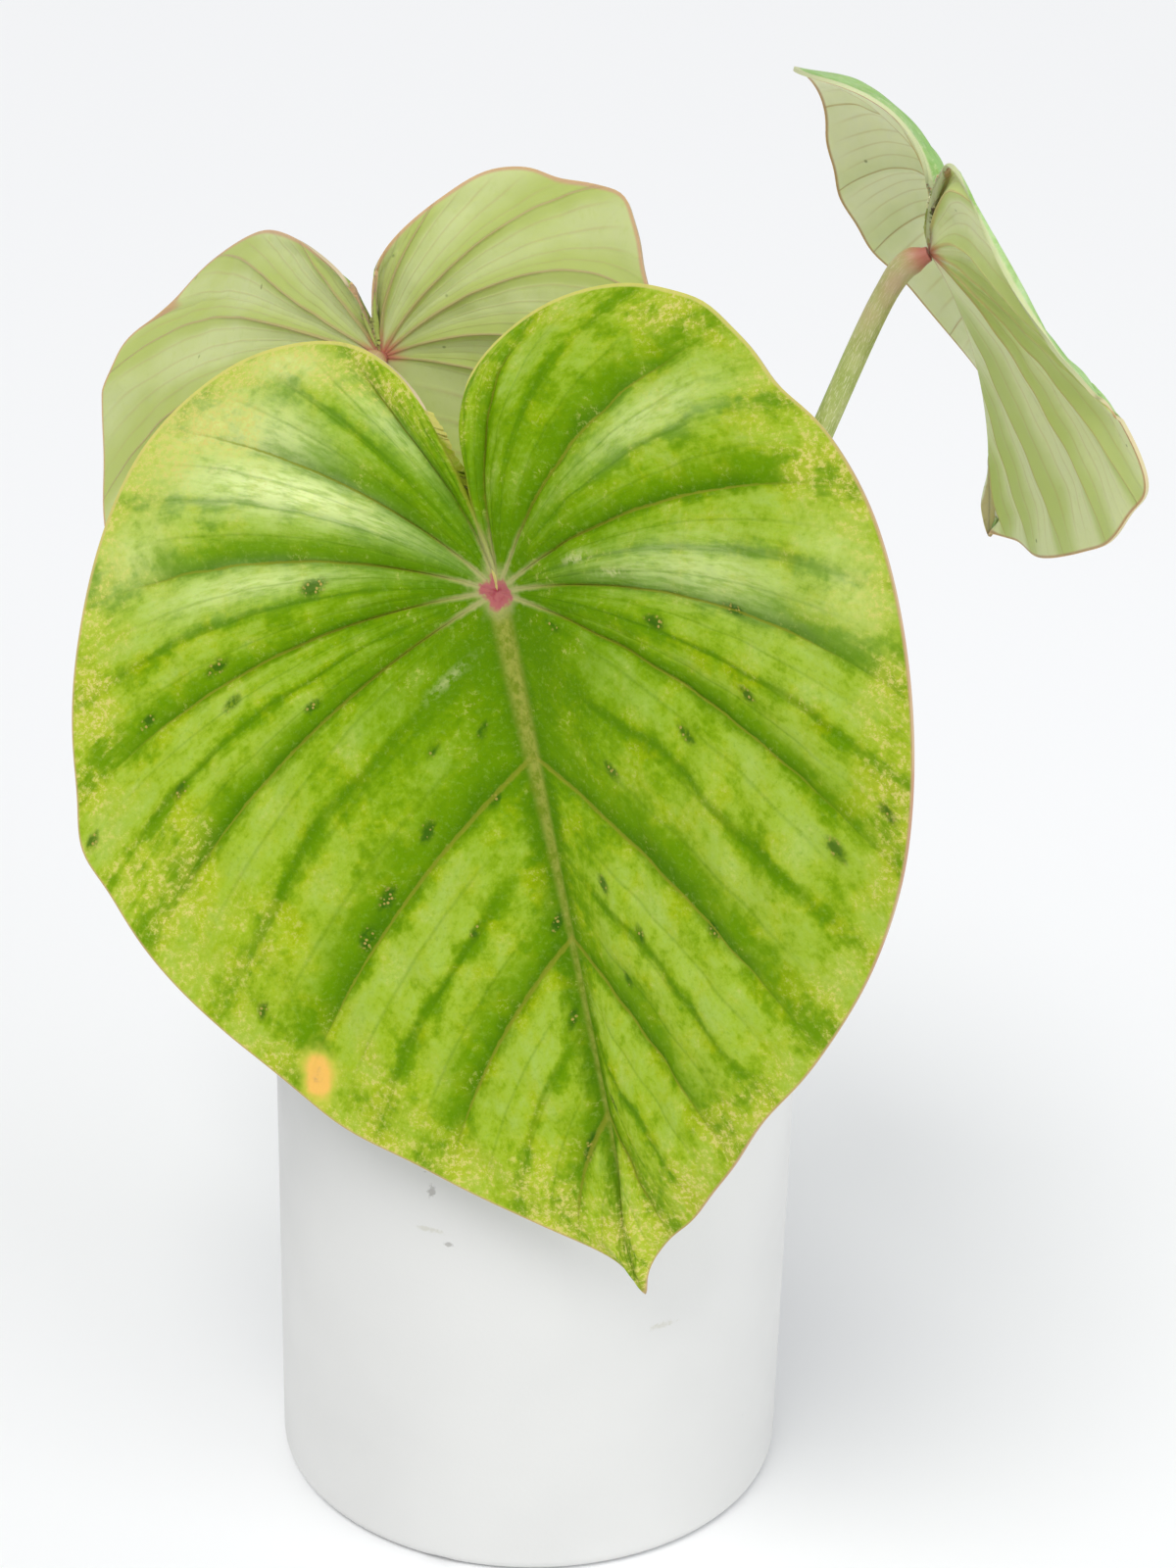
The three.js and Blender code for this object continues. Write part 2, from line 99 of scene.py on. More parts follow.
def ripple(x: Array, y: Array, wavelength: float, seed: int, waves: int = 9) -> Array:
    """A smooth random swell of about -1 to 1.

    Args:
        x: Places across, in the unit of the wavelength.
        y: Places along.
        wavelength: Usual distance from one swell to the next.
        seed: Draws the same swell for the same number.
        waves: How many waves make the swell.

    Returns:
        The swell's height at each place.
    """
    draw = np.random.default_rng(seed)
    total = np.zeros(np.broadcast(x, y).shape)
    for _ in range(waves):
        heading = draw.uniform(0.0, FULL_TURN)
        rate = FULL_TURN / (wavelength * draw.uniform(0.7, 1.6))
        phase = draw.uniform(0.0, FULL_TURN)
        total += np.sin(rate * (x * math.cos(heading) + y * math.sin(heading)) + phase)
    return total / math.sqrt(waves)


# Mesh tools


def pick(*pieces: Piece) -> None:
    """Selects these pieces alone, the first one active.

    Args:
        *pieces: The pieces to select, or none.
    """
    bpy.ops.object.select_all(action="DESELECT")
    for piece in reversed(pieces):
        piece.select_set(True)
        bpy.context.view_layer.objects.active = piece


def read_points(piece: Piece, kind: str = "co") -> Array:
    """Each vertex's place, or its normal, as rows of x, y and z.

    Args:
        piece: The piece to read.
        kind: What to read, "co" for places or "normal".

    Returns:
        One row for each vertex.
    """
    found = np.empty(len(piece.data.vertices) * 3)
    piece.data.vertices.foreach_get(kind, found)
    return found.reshape(-1, 3)


def set_points(piece: Piece, places: Array) -> None:
    """Moves the mesh's vertices to the given places, in metres."""
    piece.data.vertices.foreach_set("co", places.ravel())
    piece.data.update()


def raise_points(piece: Piece, heights: Array) -> None:
    """Moves each vertex along its normal by a height in mm."""
    set_points(piece, read_points(piece) + read_points(piece, "normal") * heights[:, None] * MM)


def paint(piece: Piece, name: str, values: Array) -> None:
    """Stores one number for each vertex under a name."""
    layer = piece.data.attributes.new(name, "FLOAT", "POINT")
    layer.data.foreach_set("value", np.ascontiguousarray(values, dtype=np.float32))


def painted(piece: Piece, name: str) -> Array:
    """Reads back the numbers that paint stored.

    Args:
        piece: The piece that was painted.
        name: The name that they were stored under.

    Returns:
        One number for each vertex.
    """
    found = np.empty(len(piece.data.vertices), dtype=np.float32)
    piece.data.attributes[name].data.foreach_get("value", found)
    return found.astype(float)


def set_map(piece: Piece, name: str, values: Array) -> None:
    """Stores a UV map from one pair of numbers for each vertex.

    Args:
        piece: The piece to map.
        name: The map's name.
        values: One pair for each vertex.
    """
    layer = piece.data.uv_layers.get(name) or piece.data.uv_layers.new(name=name)
    corners = np.empty(len(piece.data.loops), dtype=np.int64)
    piece.data.loops.foreach_get("vertex_index", corners)
    layer.data.foreach_set("uv", np.ascontiguousarray(values[corners], dtype=np.float32).ravel())


def new_grid(columns: int, rows: int) -> tuple[Piece, Array, Array]:
    """Adds a flat grid, ready to be laid on a surface.

    Args:
        columns: Steps along the first direction.
        rows: Steps along the second direction.

    Returns:
        The grid, and each vertex's share of the way along the first and the second direction.
    """
    pick()
    bpy.ops.mesh.primitive_grid_add(x_subdivisions=columns, y_subdivisions=rows, size=1.0, location=(0, 0, 0))
    grid = bpy.context.object
    flat = read_points(grid)
    return grid, np.clip(flat[:, 0] + 0.5, 0.0, 1.0), np.clip(flat[:, 1] + 0.5, 0.0, 1.0)


def named(piece: Piece, name: str) -> Piece:
    """Names a piece and its mesh.

    Args:
        piece: The piece.
        name: Its new name.

    Returns:
        The same piece.
    """
    piece.name = name
    piece.data.name = name
    return piece


def joined(parts: list[Piece], name: str) -> Piece:
    """Joins meshes into the first one and names it.

    Args:
        parts: The pieces to join.
        name: The name of the whole.

    Returns:
        The joined piece.
    """
    pick(*parts)
    bpy.ops.object.join()
    return named(bpy.context.object, name)


def edit(piece: Piece, kind: str = "VERT", select: str = "DESELECT") -> None:
    """Opens a piece in edit mode, picking vertices, edges or faces, with nothing or all of it selected.

    Args:
        piece: The piece to edit.
        kind: "VERT", "EDGE" or "FACE".
        select: "SELECT" for all of it or "DESELECT" for nothing.
    """
    pick(piece)
    bpy.ops.object.mode_set(mode="EDIT")
    bpy.ops.mesh.select_mode(type=kind)
    bpy.ops.mesh.select_all(action=select)


def close_edit() -> None:
    """Goes back to object mode."""
    bpy.ops.object.mode_set(mode="OBJECT")


def select_rim(piece: Piece) -> None:
    """Opens a piece in edit mode with its open edges selected.

    Args:
        piece: The piece to edit.
    """
    edit(piece, "EDGE")
    bpy.ops.mesh.select_non_manifold(
        extend=False, use_wire=False, use_multi_face=False, use_non_contiguous=False,
    )


def weld(piece: Piece, distance: float = 1e-6) -> None:
    """Merges the vertices that lie in one place.

    Args:
        piece: The piece to weld.
        distance: How far apart they may lie, in metres.
    """
    edit(piece, select="SELECT")
    bpy.ops.mesh.remove_doubles(threshold=distance)
    close_edit()


def cap(piece: Piece) -> None:
    """Closes a piece's open ends and turns its faces outwards.

    Args:
        piece: The piece to close.
    """
    select_rim(piece)
    bpy.ops.mesh.fill_holes(sides=0)
    bpy.ops.mesh.select_all(action="SELECT")
    bpy.ops.mesh.normals_make_consistent(inside=False)
    close_edit()


def apply_modifier(piece: Piece, kind: str, **settings: object) -> None:
    """Adds a modifier with its settings and applies it.

    Args:
        piece: The piece to change.
        kind: The modifier's type.
        **settings: What is set on the modifier.
    """
    pick(piece)
    modifier = piece.modifiers.new(kind.title(), kind)
    for key, value in settings.items():
        setattr(modifier, key, value)
    bpy.ops.object.modifier_apply(modifier=modifier.name)


def finish(piece: Piece, crisp: float, *materials: Material) -> None:
    """Puts a piece's place into its mesh, shades it smooth and adds its materials.

    Args:
        piece: The piece.
        crisp: Edges sharper than this angle, in degrees, stay crisp.
        *materials: What it is made of, in the order of its material slots.
    """
    pick(piece)
    bpy.ops.object.transform_apply(location=True, rotation=True, scale=True)
    bpy.ops.object.shade_smooth_by_angle(angle=math.radians(crisp))
    for material in materials:
        piece.data.materials.append(material)


def stand_for(piece: Piece, node: str) -> None:
    """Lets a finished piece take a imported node's place and ride on the plant's one body.

    Args:
        piece: The finished piece.
        node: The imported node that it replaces.
    """
    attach(piece, "root")
    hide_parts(node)
    log.info("%s: %d vertices in place of %s", piece.name, len(piece.data.vertices), node)


# Materials


@dataclass(frozen=True)
class Grey:
    """A number inside a material, which takes part in plain sums."""

    look: "Shading"
    socket: Socket

    def __add__(self, other: "Grey | float") -> "Grey":
        return self.look.calculate("ADD", self, other)

    def __sub__(self, other: "Grey | float") -> "Grey":
        return self.look.calculate("SUBTRACT", self, other)

    def __mul__(self, other: "Grey | float") -> "Grey":
        return self.look.calculate("MULTIPLY", self, other)

    def __truediv__(self, other: "Grey | float") -> "Grey":
        return self.look.calculate("DIVIDE", self, other)

    def __abs__(self) -> "Grey":
        return self.look.calculate("ABSOLUTE", self)

    def fraction(self) -> "Grey":
        """What is left of the number past its whole part."""
        return self.look.calculate("FRACT", self)

    def most(self, other: "Grey | float") -> "Grey":
        """The greater of two numbers."""
        return self.look.calculate("MAXIMUM", self, other)

    def least(self, other: "Grey | float") -> "Grey":
        """The smaller of two numbers."""
        return self.look.calculate("MINIMUM", self, other)

    def ease(self, low: float, high: float, start: float = 0.0, end: float = 1.0) -> "Grey":
        """Eases from start to end while this number goes from low to high.

        Args:
            low: This number at the start.
            high: This number at the end, which may be the lower one.
            start: The result at the start.
            end: The result at the end.

        Returns:
            The eased number.
        """
        feeds = {"Value": self, "From Min": low, "From Max": high, "To Min": start, "To Max": end}
        node = self.look.add("MapRange", feeds, interpolation_type="SMOOTHSTEP")
        return Grey(self.look, node.outputs["Result"])


class Shading:
    """A material's node tree with short calls for the nodes that the finishes share."""

    def __init__(self, name: str, roughness: float = 0.5, specular: float = 0.5) -> None:
        """Makes the material with one Principled shader.

        Args:
            name: The material's name.
            roughness: Its roughness.
            specular: Its specular level.
        """
        self.material = bpy.data.materials.new(name)
        self.material.use_nodes = True
        self.tree = self.material.node_tree
        self.shader = self.tree.nodes["Principled BSDF"]
        self.set("Roughness", roughness)
        self.set("Specular IOR Level", specular)

    def plug(self, value: object, target: Socket) -> None:
        """Links a socket to the target, or sets a plain value on it.

        Args:
            value: A number inside the material, a socket, a colour or a plain value.
            target: The input that takes it.
        """
        value = value.socket if isinstance(value, Grey) else value
        if isinstance(value, bpy.types.NodeSocket):
            self.tree.links.new(value, target)
        elif isinstance(value, tuple) and target.type == "RGBA":
            target.default_value = (*value, 1.0)
        else:
            target.default_value = value

    def set(self, name: str, value: object) -> None:
        """Feeds one of the shader's inputs."""
        self.plug(value, self.shader.inputs[name])

    def add(self, kind: str, feeds: dict, **settings: object) -> bpy.types.Node:
        """Adds a node with its settings and plugs a value into each input that feeds names.

        Args:
            kind: The node's type without ShaderNode.
            feeds: A value for each input.
            **settings: What is set on the node.

        Returns:
            The node.
        """
        node = self.tree.nodes.new(f"ShaderNode{kind}")
        for key, value in settings.items():
            setattr(node, key, value)
        for key, value in feeds.items():
            self.plug(value, node.inputs[key])
        return node

    def calculate(self, kind: str, first: object, second: object = 0.0) -> Grey:
        """A Math node's result."""
        return Grey(self, self.add("Math", {0: first, 1: second}, operation=kind).outputs[0])

    def blend(self, share: object, low: object, high: object) -> Socket:
        """Mixes two colours."""
        return self.add("Mix", {0: share, 6: low, 7: high}, data_type="RGBA").outputs[2]

    def measure(self, name: str) -> Grey:
        """A number painted on the mesh."""
        return Grey(self, self.add("Attribute", {}, attribute_name=name).outputs["Fac"])

    def stretched(self, vector: Socket, stretch: Point, shift: Point = (0.0, 0.0, 0.0)) -> Socket:
        """A vector scaled by a factor in each direction, then moved."""
        return self.add("Mapping", {"Vector": vector, "Location": shift, "Scale": stretch}).outputs["Vector"]

    def map(self, name: str, stretch: Point = (1.0, 1.0, 1.0)) -> Socket:
        """A UV map, stretched by a factor in each direction."""
        return self.stretched(self.add("UVMap", {}, uv_map=name).outputs["UV"], stretch)

    def place(self, stretch: Point = (1.0, 1.0, 1.0), shift: Point = (0.0, 0.0, 0.0)) -> Socket:
        """Object coordinates, stretched by a factor in each direction, then moved."""
        return self.stretched(self.add("TexCoord", {}).outputs["Object"], stretch, shift)

    def away(self, spot: Point, half: Point) -> Grey:
        """The distance from a spot in half sizes, both in mm.

        Args:
            spot: The spot's middle.
            half: The spot's half size in each direction.

        Returns:
            The distance, 1 at the spot's edge.
        """
        stretch = tuple(1.0 / (size * MM) for size in half)
        shift = tuple(-at / size for at, size in zip(spot, half))
        node = self.add("VectorMath", {0: self.place(stretch, shift)}, operation="LENGTH")
        return Grey(self, node.outputs["Value"])

    def noise(self, vector: Socket, scale: float, detail: float = 2.0, rough: float = 0.5) -> Grey:
        """A Noise texture's grey value, about 0.5 on average."""
        feeds = {"Vector": vector, "Scale": scale, "Detail": detail, "Roughness": rough}
        return Grey(self, self.add("TexNoise", feeds).outputs[0])

    def cells(self, vector: Socket, scale: float) -> Grey:
        """A Voronoi texture's distance."""
        return Grey(self, self.add("TexVoronoi", {"Vector": vector, "Scale": scale}).outputs["Distance"])

    def bump(self, height: Grey, distance: float, strength: float, under: Socket | None = None) -> Socket:
        """A Bump node's normal, on top of another bump if one is given.

        Args:
            height: The height of the relief.
            distance: What a height of 1 stands for, in metres.
            strength: How much of it shows.
            under: The normal of the bump below it.

        Returns:
            The normal.
        """
        feeds = {"Strength": strength, "Distance": distance, "Height": height}
        if under is not None:
            feeds["Normal"] = under
        return self.add("Bump", feeds).outputs["Normal"]

    def let_through(self, weight: float, reach: Point, scale: float) -> None:
        """Lets some light into the surface: how much, and how far its red, green and blue go.

        Args:
            weight: How much light goes in.
            reach: How far each colour goes, in shares.
            scale: How far a share of 1 goes, in metres.
        """
        self.set("Subsurface Weight", weight)
        self.set("Subsurface Radius", reach)
        self.set("Subsurface Scale", scale)


@dataclass(frozen=True)
class GlazeFinish:
    """Matte white ceramic with fine speckle; its rubbed spots are given by place and half sizes in mm."""

    white: Colour = (0.71, 0.711, 0.697)
    shade: Colour = (0.668, 0.669, 0.656)
    scuff: Colour = (0.42, 0.41, 0.39)
    smear: Colour = (0.56, 0.55, 0.47)
    scuffs: tuple[tuple[Point, Point], ...] = (
        ((-22.1, -58.7, 101.3), (1.1, 3.0, 1.9)), ((-18.0, -60.1, 88.2), (1.4, 3.0, 0.7)),
    )
    smears: tuple[tuple[Point, Point], ...] = (
        ((-22.3, -58.7, 91.2), (3.6, 5.0, 0.8)), ((31.2, -54.4, 64.8), (4.0, 5.0, 1.1)),
    )

    def material(self) -> Material:
        """The pot's material.

        Returns:
            The material.
        """
        look = Shading("matte_white_glaze")
        here = look.place()
        colour = look.blend(look.noise(here, 14.0, 3.0).ease(0.35, 0.7), self.white, self.shade)
        nick = look.noise(look.place((1.0, 1.0, 2.6)), 95.0, 3.0, 0.62).ease(0.735, 0.76)
        worn = (nick * look.noise(here, 17.0, 1.0).ease(0.6, 0.66)).most(self.rubbed(look, self.scuffs))
        colour = look.blend(self.rubbed(look, self.smears) * 0.6, colour, self.smear)
        look.set("Base Color", look.blend(worn * 0.85, colour, self.scuff))
        look.set("Roughness", look.noise(here, 60.0, 3.0).ease(0.3, 0.7, 0.42, 0.58))
        fine = look.bump(look.noise(here, 900.0), 0.00008, 0.35)
        rings = look.bump(look.noise(look.place((0.2, 0.2, 1.0)), 180.0), 0.0002, 0.25, fine)
        look.set("Normal", look.bump(worn, -0.0002, 0.5, rings))
        return look.material

    @staticmethod
    def rubbed(look: Shading, spots: tuple[tuple[Point, Point], ...]) -> Grey:
        """Where the glaze is rubbed, 1 in the middle of a spot.

        Args:
            look: The pot's material.
            spots: The place and half sizes of each spot, in mm.

        Returns:
            How rubbed the glaze is, 0 to 1.
        """
        ragged = (look.noise(look.place(), 700.0, 3.0, 0.7) - 0.5) * 2.6
        first, *others = (look.away(*spot) + ragged for spot in spots)
        for other in others:
            first = first.least(other)
        return first.ease(1.0, 0.3)


@dataclass(frozen=True)
class SoilFinish:
    """Loose dark potting mix."""

    dark: Colour = (0.028, 0.018, 0.012)
    brown: Colour = (0.1, 0.062, 0.036)

    def material(self) -> Material:
        """The soil's material.

        Returns:
            The material.
        """
        look = Shading("dark_potting_mix", 0.95, 0.25)
        crumb = look.noise(look.place(), 420.0, 4.0, 0.65)
        grey = crumb * 0.7 + look.noise(look.place(), 60.0) * 0.3
        look.set("Base Color", look.blend(grey.ease(0.38, 0.62), self.dark, self.brown))
        look.set("Normal", look.bump(crumb, 0.0012, 0.9))
        return look.material


@dataclass(frozen=True)
class LooseFinish:
    """The loose pieces in the mix: rust-brown bark with darker layers, pale grit or fibre."""

    name: str = "bark_chip"
    dark: Colour = (0.06, 0.03, 0.016)
    light: Colour = (0.24, 0.13, 0.06)
    layering: float = 4.0
    roughness: float = 0.85

    def material(self) -> Material:
        """The material of one kind of loose piece.

        Returns:
            The material.
        """
        look = Shading(self.name, self.roughness, 0.3)
        layers = look.noise(look.place((1.0, 1.0, self.layering)), 210.0, 4.0, 0.6)
        grey = layers * 0.5 + look.noise(look.place(), 45.0, 1.0) * 0.5
        look.set("Base Color", look.blend(grey.ease(0.36, 0.64), self.dark, self.light))
        look.set("Normal", look.bump(layers, 0.0006, 0.8))
        return look.material


@dataclass(frozen=True)
class StemFinish:
    """The creeping stem: olive skin, corky brown between the leaf scars."""

    green: Colour = (0.17, 0.2, 0.05)
    cork: Colour = (0.2, 0.13, 0.06)
    scar: Colour = (0.07, 0.045, 0.025)

    def material(self) -> Material:
        """The stem's material.

        Returns:
            The material.
        """
        look = Shading("creeping_stem", 0.7, 0.35)
        bark = look.noise(look.place(), 260.0, 4.0, 0.6)
        colour = look.blend(bark.ease(0.42, 0.62), self.green, self.cork)
        look.set("Base Color", look.blend(look.measure("ring").ease(0.35, 0.9), colour, self.scar))
        look.set("Normal", look.bump(bark, 0.0006, 0.6))
        return look.material


@dataclass(frozen=True)
class StalkFinish:
    """A leaf stalk: olive green with fine pale streaks, flushed red where it meets the blade."""

    green: Colour = (0.36, 0.44, 0.1)
    light: Colour = (0.5, 0.55, 0.2)
    streak: Colour = (0.74, 0.73, 0.48)
    flush: Colour = (0.5, 0.13, 0.11)
    pink: Colour = (0.58, 0.4, 0.27)

    def material(self) -> Material:
        """The stalk's material.

        Returns:
            The material.
        """
        look = Shading("streaked_stalk", 0.42)
        tone = look.noise(look.map("wrap", (0.5, 2.0, 1.0)), 2.0)
        colour = look.blend(tone.ease(0.35, 0.65), self.green, self.light)
        fleck = look.noise(look.map("wrap", (2.2, 26.0, 1.0)), 2.4, 3.0, 0.6)
        colour = look.blend(fleck.ease(0.51, 0.62) * 0.75, colour, self.streak)
        down = look.measure("below_blade")
        warm = down.ease(34.0, 6.0) * look.noise(look.place(), 160.0).ease(0.3, 0.7, 0.35, 0.85)
        colour = look.blend(warm, colour, self.pink)
        look.set("Base Color", look.blend(down.ease(7.0, 0.5, 0.0, 0.9), colour, self.flush))
        look.let_through(0.15, (0.5, 0.8, 0.2), 0.002)
        look.set("Normal", look.bump(fleck, 0.00025, 0.4))
        return look.material


class BladeShading(Shading):
    """A blade's material, with what both faces read from the mesh: distances in mm, places and noises."""

    def __init__(self, name: str, size: float, roughness: float = 0.5, specular: float = 0.5) -> None:
        """Makes the material for a blade whose midrib is size mm long.

        Args:
            name: The material's name.
            size: The midrib's length in mm.
            roughness: Its roughness.
            specular: Its specular level.
        """
        super().__init__(name, roughness, specular)
        self.size = size
        self.flat = self.map("flat")
        course = self.add("SeparateXYZ", {0: self.map("course")})
        self.course, self.across = (Grey(self, course.outputs[i]) for i in (0, 1))
        self.within = (self.course * float(PANELS)).fraction()
        self.vein, self.rim = self.measure("vein_mm"), self.measure("rim_mm")
        self.root, self.rib = self.measure("root_mm"), self.measure("rib_share")
        self.cloud = self.noise(self.flat, size / 34.0)
        self.patchy = self.noise(self.flat, size / 9.0, 3.0, 0.6)
        self.mottle = self.noise(self.flat, size / 2.4, 4.0, 0.7)
        self.streak = self.noise(self.map("course", (24.0, 3.0, 1.0)), 1.6, 3.0, 0.55)
        self.brush = self.noise(self.map("course", (34.0, 10.0, 1.0)), 1.2, 5.0, 0.68)
        self.fibre = self.noise(self.map("course", (85.0, 7.0, 1.0)), 1.9, 4.0, 0.65)

    def mark(self, kind: Mark) -> Grey:
        """How strongly the patches of one kind show."""
        return self.measure(kind.value)

    def side_vein(self, rate: float) -> Grey:
        """How near a fine vein is that runs between the main veins, 0.5 on it and 0 between two."""
        return abs((self.course * rate).fraction() - 0.5)


@dataclass(frozen=True)
class UpperFinish:
    """Quilted upper face: lime pillows with painted highlights, dark green folds of painted shade, yellowing to
    the margin.
    """

    # The darkest green: painted shade in the folds, and the fine veins' lines.
    deep: Colour = (0.065, 0.175, 0.0)
    green: Colour = (0.13, 0.272, 0.0)
    leafy: Colour = (0.21, 0.375, 0.0)
    lime: Colour = (0.32, 0.455, 0.012)
    glow: Colour = (0.39, 0.465, 0.0)
    # The pale crest colour that the painted sheen lays on; folded() also flecks it in as light grain.
    pillow: Colour = (0.375, 0.52, 0.1)
    # The pale colour of the painted sheen highlight on the crests.
    silver: Colour = (0.78, 0.87, 0.4)
    yellow: Colour = (0.52, 0.54, 0.06)
    cream: Colour = (0.62, 0.57, 0.16)
    veil: Colour = (0.74, 0.8, 0.34)
    midrib: Colour = (0.18, 0.24, 0.015)
    midrib_top: Colour = (0.33, 0.35, 0.06)
    vein: Colour = (0.25, 0.27, 0.02)
    root: Colour = (0.42, 0.42, 0.17)
    flush: Colour = (0.43, 0.13, 0.13)
    crimson: Colour = (0.3, 0.03, 0.05)
    edge: Colour = (0.5, 0.33, 0.17)
    orange: Colour = (0.87, 0.5, 0.12)
    brown: Colour = (0.46, 0.27, 0.12)
    spot: Colour = (0.02, 0.09, 0.004)
    grain: Colour = (0.42, 0.33, 0.08)
    scrape: Colour = (0.66, 0.66, 0.32)
    side_veins: float = 40.0

    def material(self, leaf: "LeafShape") -> Material:
        """The upper face's material for one leaf.

        Args:
            leaf: The leaf that it is for.

        Returns:
            The material.
        """
        look = BladeShading(f"leaf_upper_{leaf.name}", leaf.length, specular=0.04)
        wave = look.noise(look.map("course", (9.0, 2.2, 1.0)), 1.5)
        place = look.within + (wave - 0.5) * 0.22
        age = look.mark(Mark.AGED).most(look.root.ease(0.58 * look.size, 0.95 * look.size, 0.0, 0.45))
        colour = self.folded(look, place, self.pillows(look, place, age))
        colour = self.marked(look, self.aged(look, age, colour))
        look.set("Base Color", self.veined(look, colour))
        look.set("Roughness", look.mottle.ease(0.3, 0.7, 0.4, 0.54))
        look.let_through(0.2, (0.6, 1.0, 0.15), 0.0012)
        groove = look.bump(look.vein.ease(0.1, 0.7), 0.0002, 0.3)
        furrow = look.bump(look.side_vein(self.side_veins).ease(0.5, 0.3), 0.0003, 0.25, groove)
        weave = look.bump(look.fibre, 0.0006, 0.3, furrow)
        look.set("Normal", look.bump(look.mottle, 0.00025, 0.45, weave))
        return look.material

    def pillows(self, look: BladeShading, place: Grey, age: Grey) -> Socket:
        """The crests between the veins, two to a panel, in strokes along the veins, lightened by a painted
        highlight and a painted sheen.

        Args:
            look: The blade's material.
            place: Share of the way through the panel.
            age: How aged the blade is there.

        Returns:
            The face's colour so far.
        """
        # Painted highlight: the two crests of each panel are made lighter, as light falls on the quilting.
        first = place.ease(-0.03, 0.14) * place.ease(0.5, 0.36)
        second = place.ease(0.48, 0.6) * place.ease(0.92, 0.7)
        lit = first.most(second * 0.8) * look.across.ease(0.03, 0.25, 0.2, 1.0)
        stroke = look.streak * 0.4 + look.fibre * 0.2 + look.brush * 0.4 - 0.5
        dapple = look.patchy + look.mottle * 0.8 - 0.9
        outward = look.root.ease(20.0, 85.0)
        tone = lit * 0.45 + stroke * 2.6 + dapple + outward * 0.14
        colour = look.blend(tone.ease(-0.05, 0.6), self.green, look.blend(outward, self.leafy, self.lime))
        warm = look.patchy.ease(0.48, 0.62) * look.root.ease(25.0, 70.0, 0.1, 0.45)
        colour = look.blend(warm, colour, self.glow)
        # Painted sheen: the crests go pale, most where the sheen patches lie.
        crest_sheen = lit * 0.32 + look.mark(Mark.SILVER) * 0.15 + stroke * 2.4 + dapple * 0.6 + outward * 0.22
        return look.blend((crest_sheen - age * 0.35).ease(0.22, 0.95, 0.0, 0.9), colour, self.pillow)

    def folded(self, look: BladeShading, place: Grey, colour: Socket) -> Socket:
        """Painted shade in the fold before each main vein, in the furrow between the crests and along the
        veins; the dark heart.

        Args:
            look: The blade's material.
            place: Share of the way through the panel.
            colour: The face's colour so far.

        Returns:
            The colour with the folds.
        """
        fray = (look.fibre + look.patchy - 1.0) * 3.0
        ragged = place + (look.brush - 0.5) * 0.2
        # Painted shade: the panel goes to a darker green before each main vein.
        shade = ragged.ease(0.68, 0.9) * look.rim.ease(3.0, 30.0, 0.15, 0.75)
        colour = look.blend(shade, colour, self.green)
        inward = look.rim.ease(3.0, 28.0)
        # Painted shade in the fold before each vein, in the furrow between the crests and in a band along each
        # vein; darker also beside the midrib and towards the junction.
        fold = ragged.ease(0.86, 1.0) * inward
        furrow = place.ease(0.43, 0.47) * place.ease(0.52, 0.475) * look.across.ease(0.08, 0.3) * inward
        vein_shade = (look.vein + fray).ease(2.6, 0.3) * look.rim.ease(5.0, 40.0)
        beside = (look.rib + fray).ease(5.5, 1.0) * 0.8
        heart = (look.root + fray * 4.0).ease(52.0, 5.0, 0.0, 0.6)
        dark = (fold * 0.9).most(furrow * 0.5).most(beside).most(vein_shade * 0.4).most(heart)
        colour = look.blend(dark, colour, self.deep)
        grain = look.noise(look.flat, look.size / 1.4, 4.0, 0.75)
        colour = look.blend(grain.ease(0.5, 0.3, 0.0, 0.35), colour, self.green)
        return look.blend(grain.ease(0.5, 0.7, 0.0, 0.2), colour, self.pillow)

    def aged(self, look: BladeShading, age: Grey, colour: Socket) -> Socket:
        """The painted sheen highlight on the crests, and the yellow and cream crumbs towards the margin.

        Args:
            look: The blade's material.
            age: How aged the blade is there.
            colour: The face's colour so far.

        Returns:
            The colour with its age.
        """
        # Painted sheen: the crests' highlights, laid in pale strokes along the fibres.
        silver = look.mark(Mark.SILVER) * look.fibre.ease(0.34, 0.6, 0.45, 0.95)
        colour = look.blend(silver, colour, self.silver)
        veil = look.mark(Mark.VEIL) * look.patchy.ease(0.36, 0.58, 0.5, 1.0)
        veil = veil * look.mottle.ease(0.3, 0.6, 0.6, 1.0)
        colour = look.blend(veil, colour, self.veil)
        age = look.rim.ease(20.0, 0.0, 0.0, 0.4) + age
        age = age * (look.patchy + look.fibre).ease(0.8, 1.15, 0.3, 1.0)
        colour = look.blend(age.ease(0.06, 0.75, 0.0, 0.4), colour, self.yellow)
        crumb = (look.noise(look.flat, look.size / 1.4, 6.0, 0.8) + age * 0.05).ease(0.53, 0.59)
        spread = age.ease(0.1, 0.7, 0.0, 0.85) + look.patchy.ease(0.52, 0.66, 0.0, 0.3)
        return look.blend(crumb * spread, colour, self.cream)

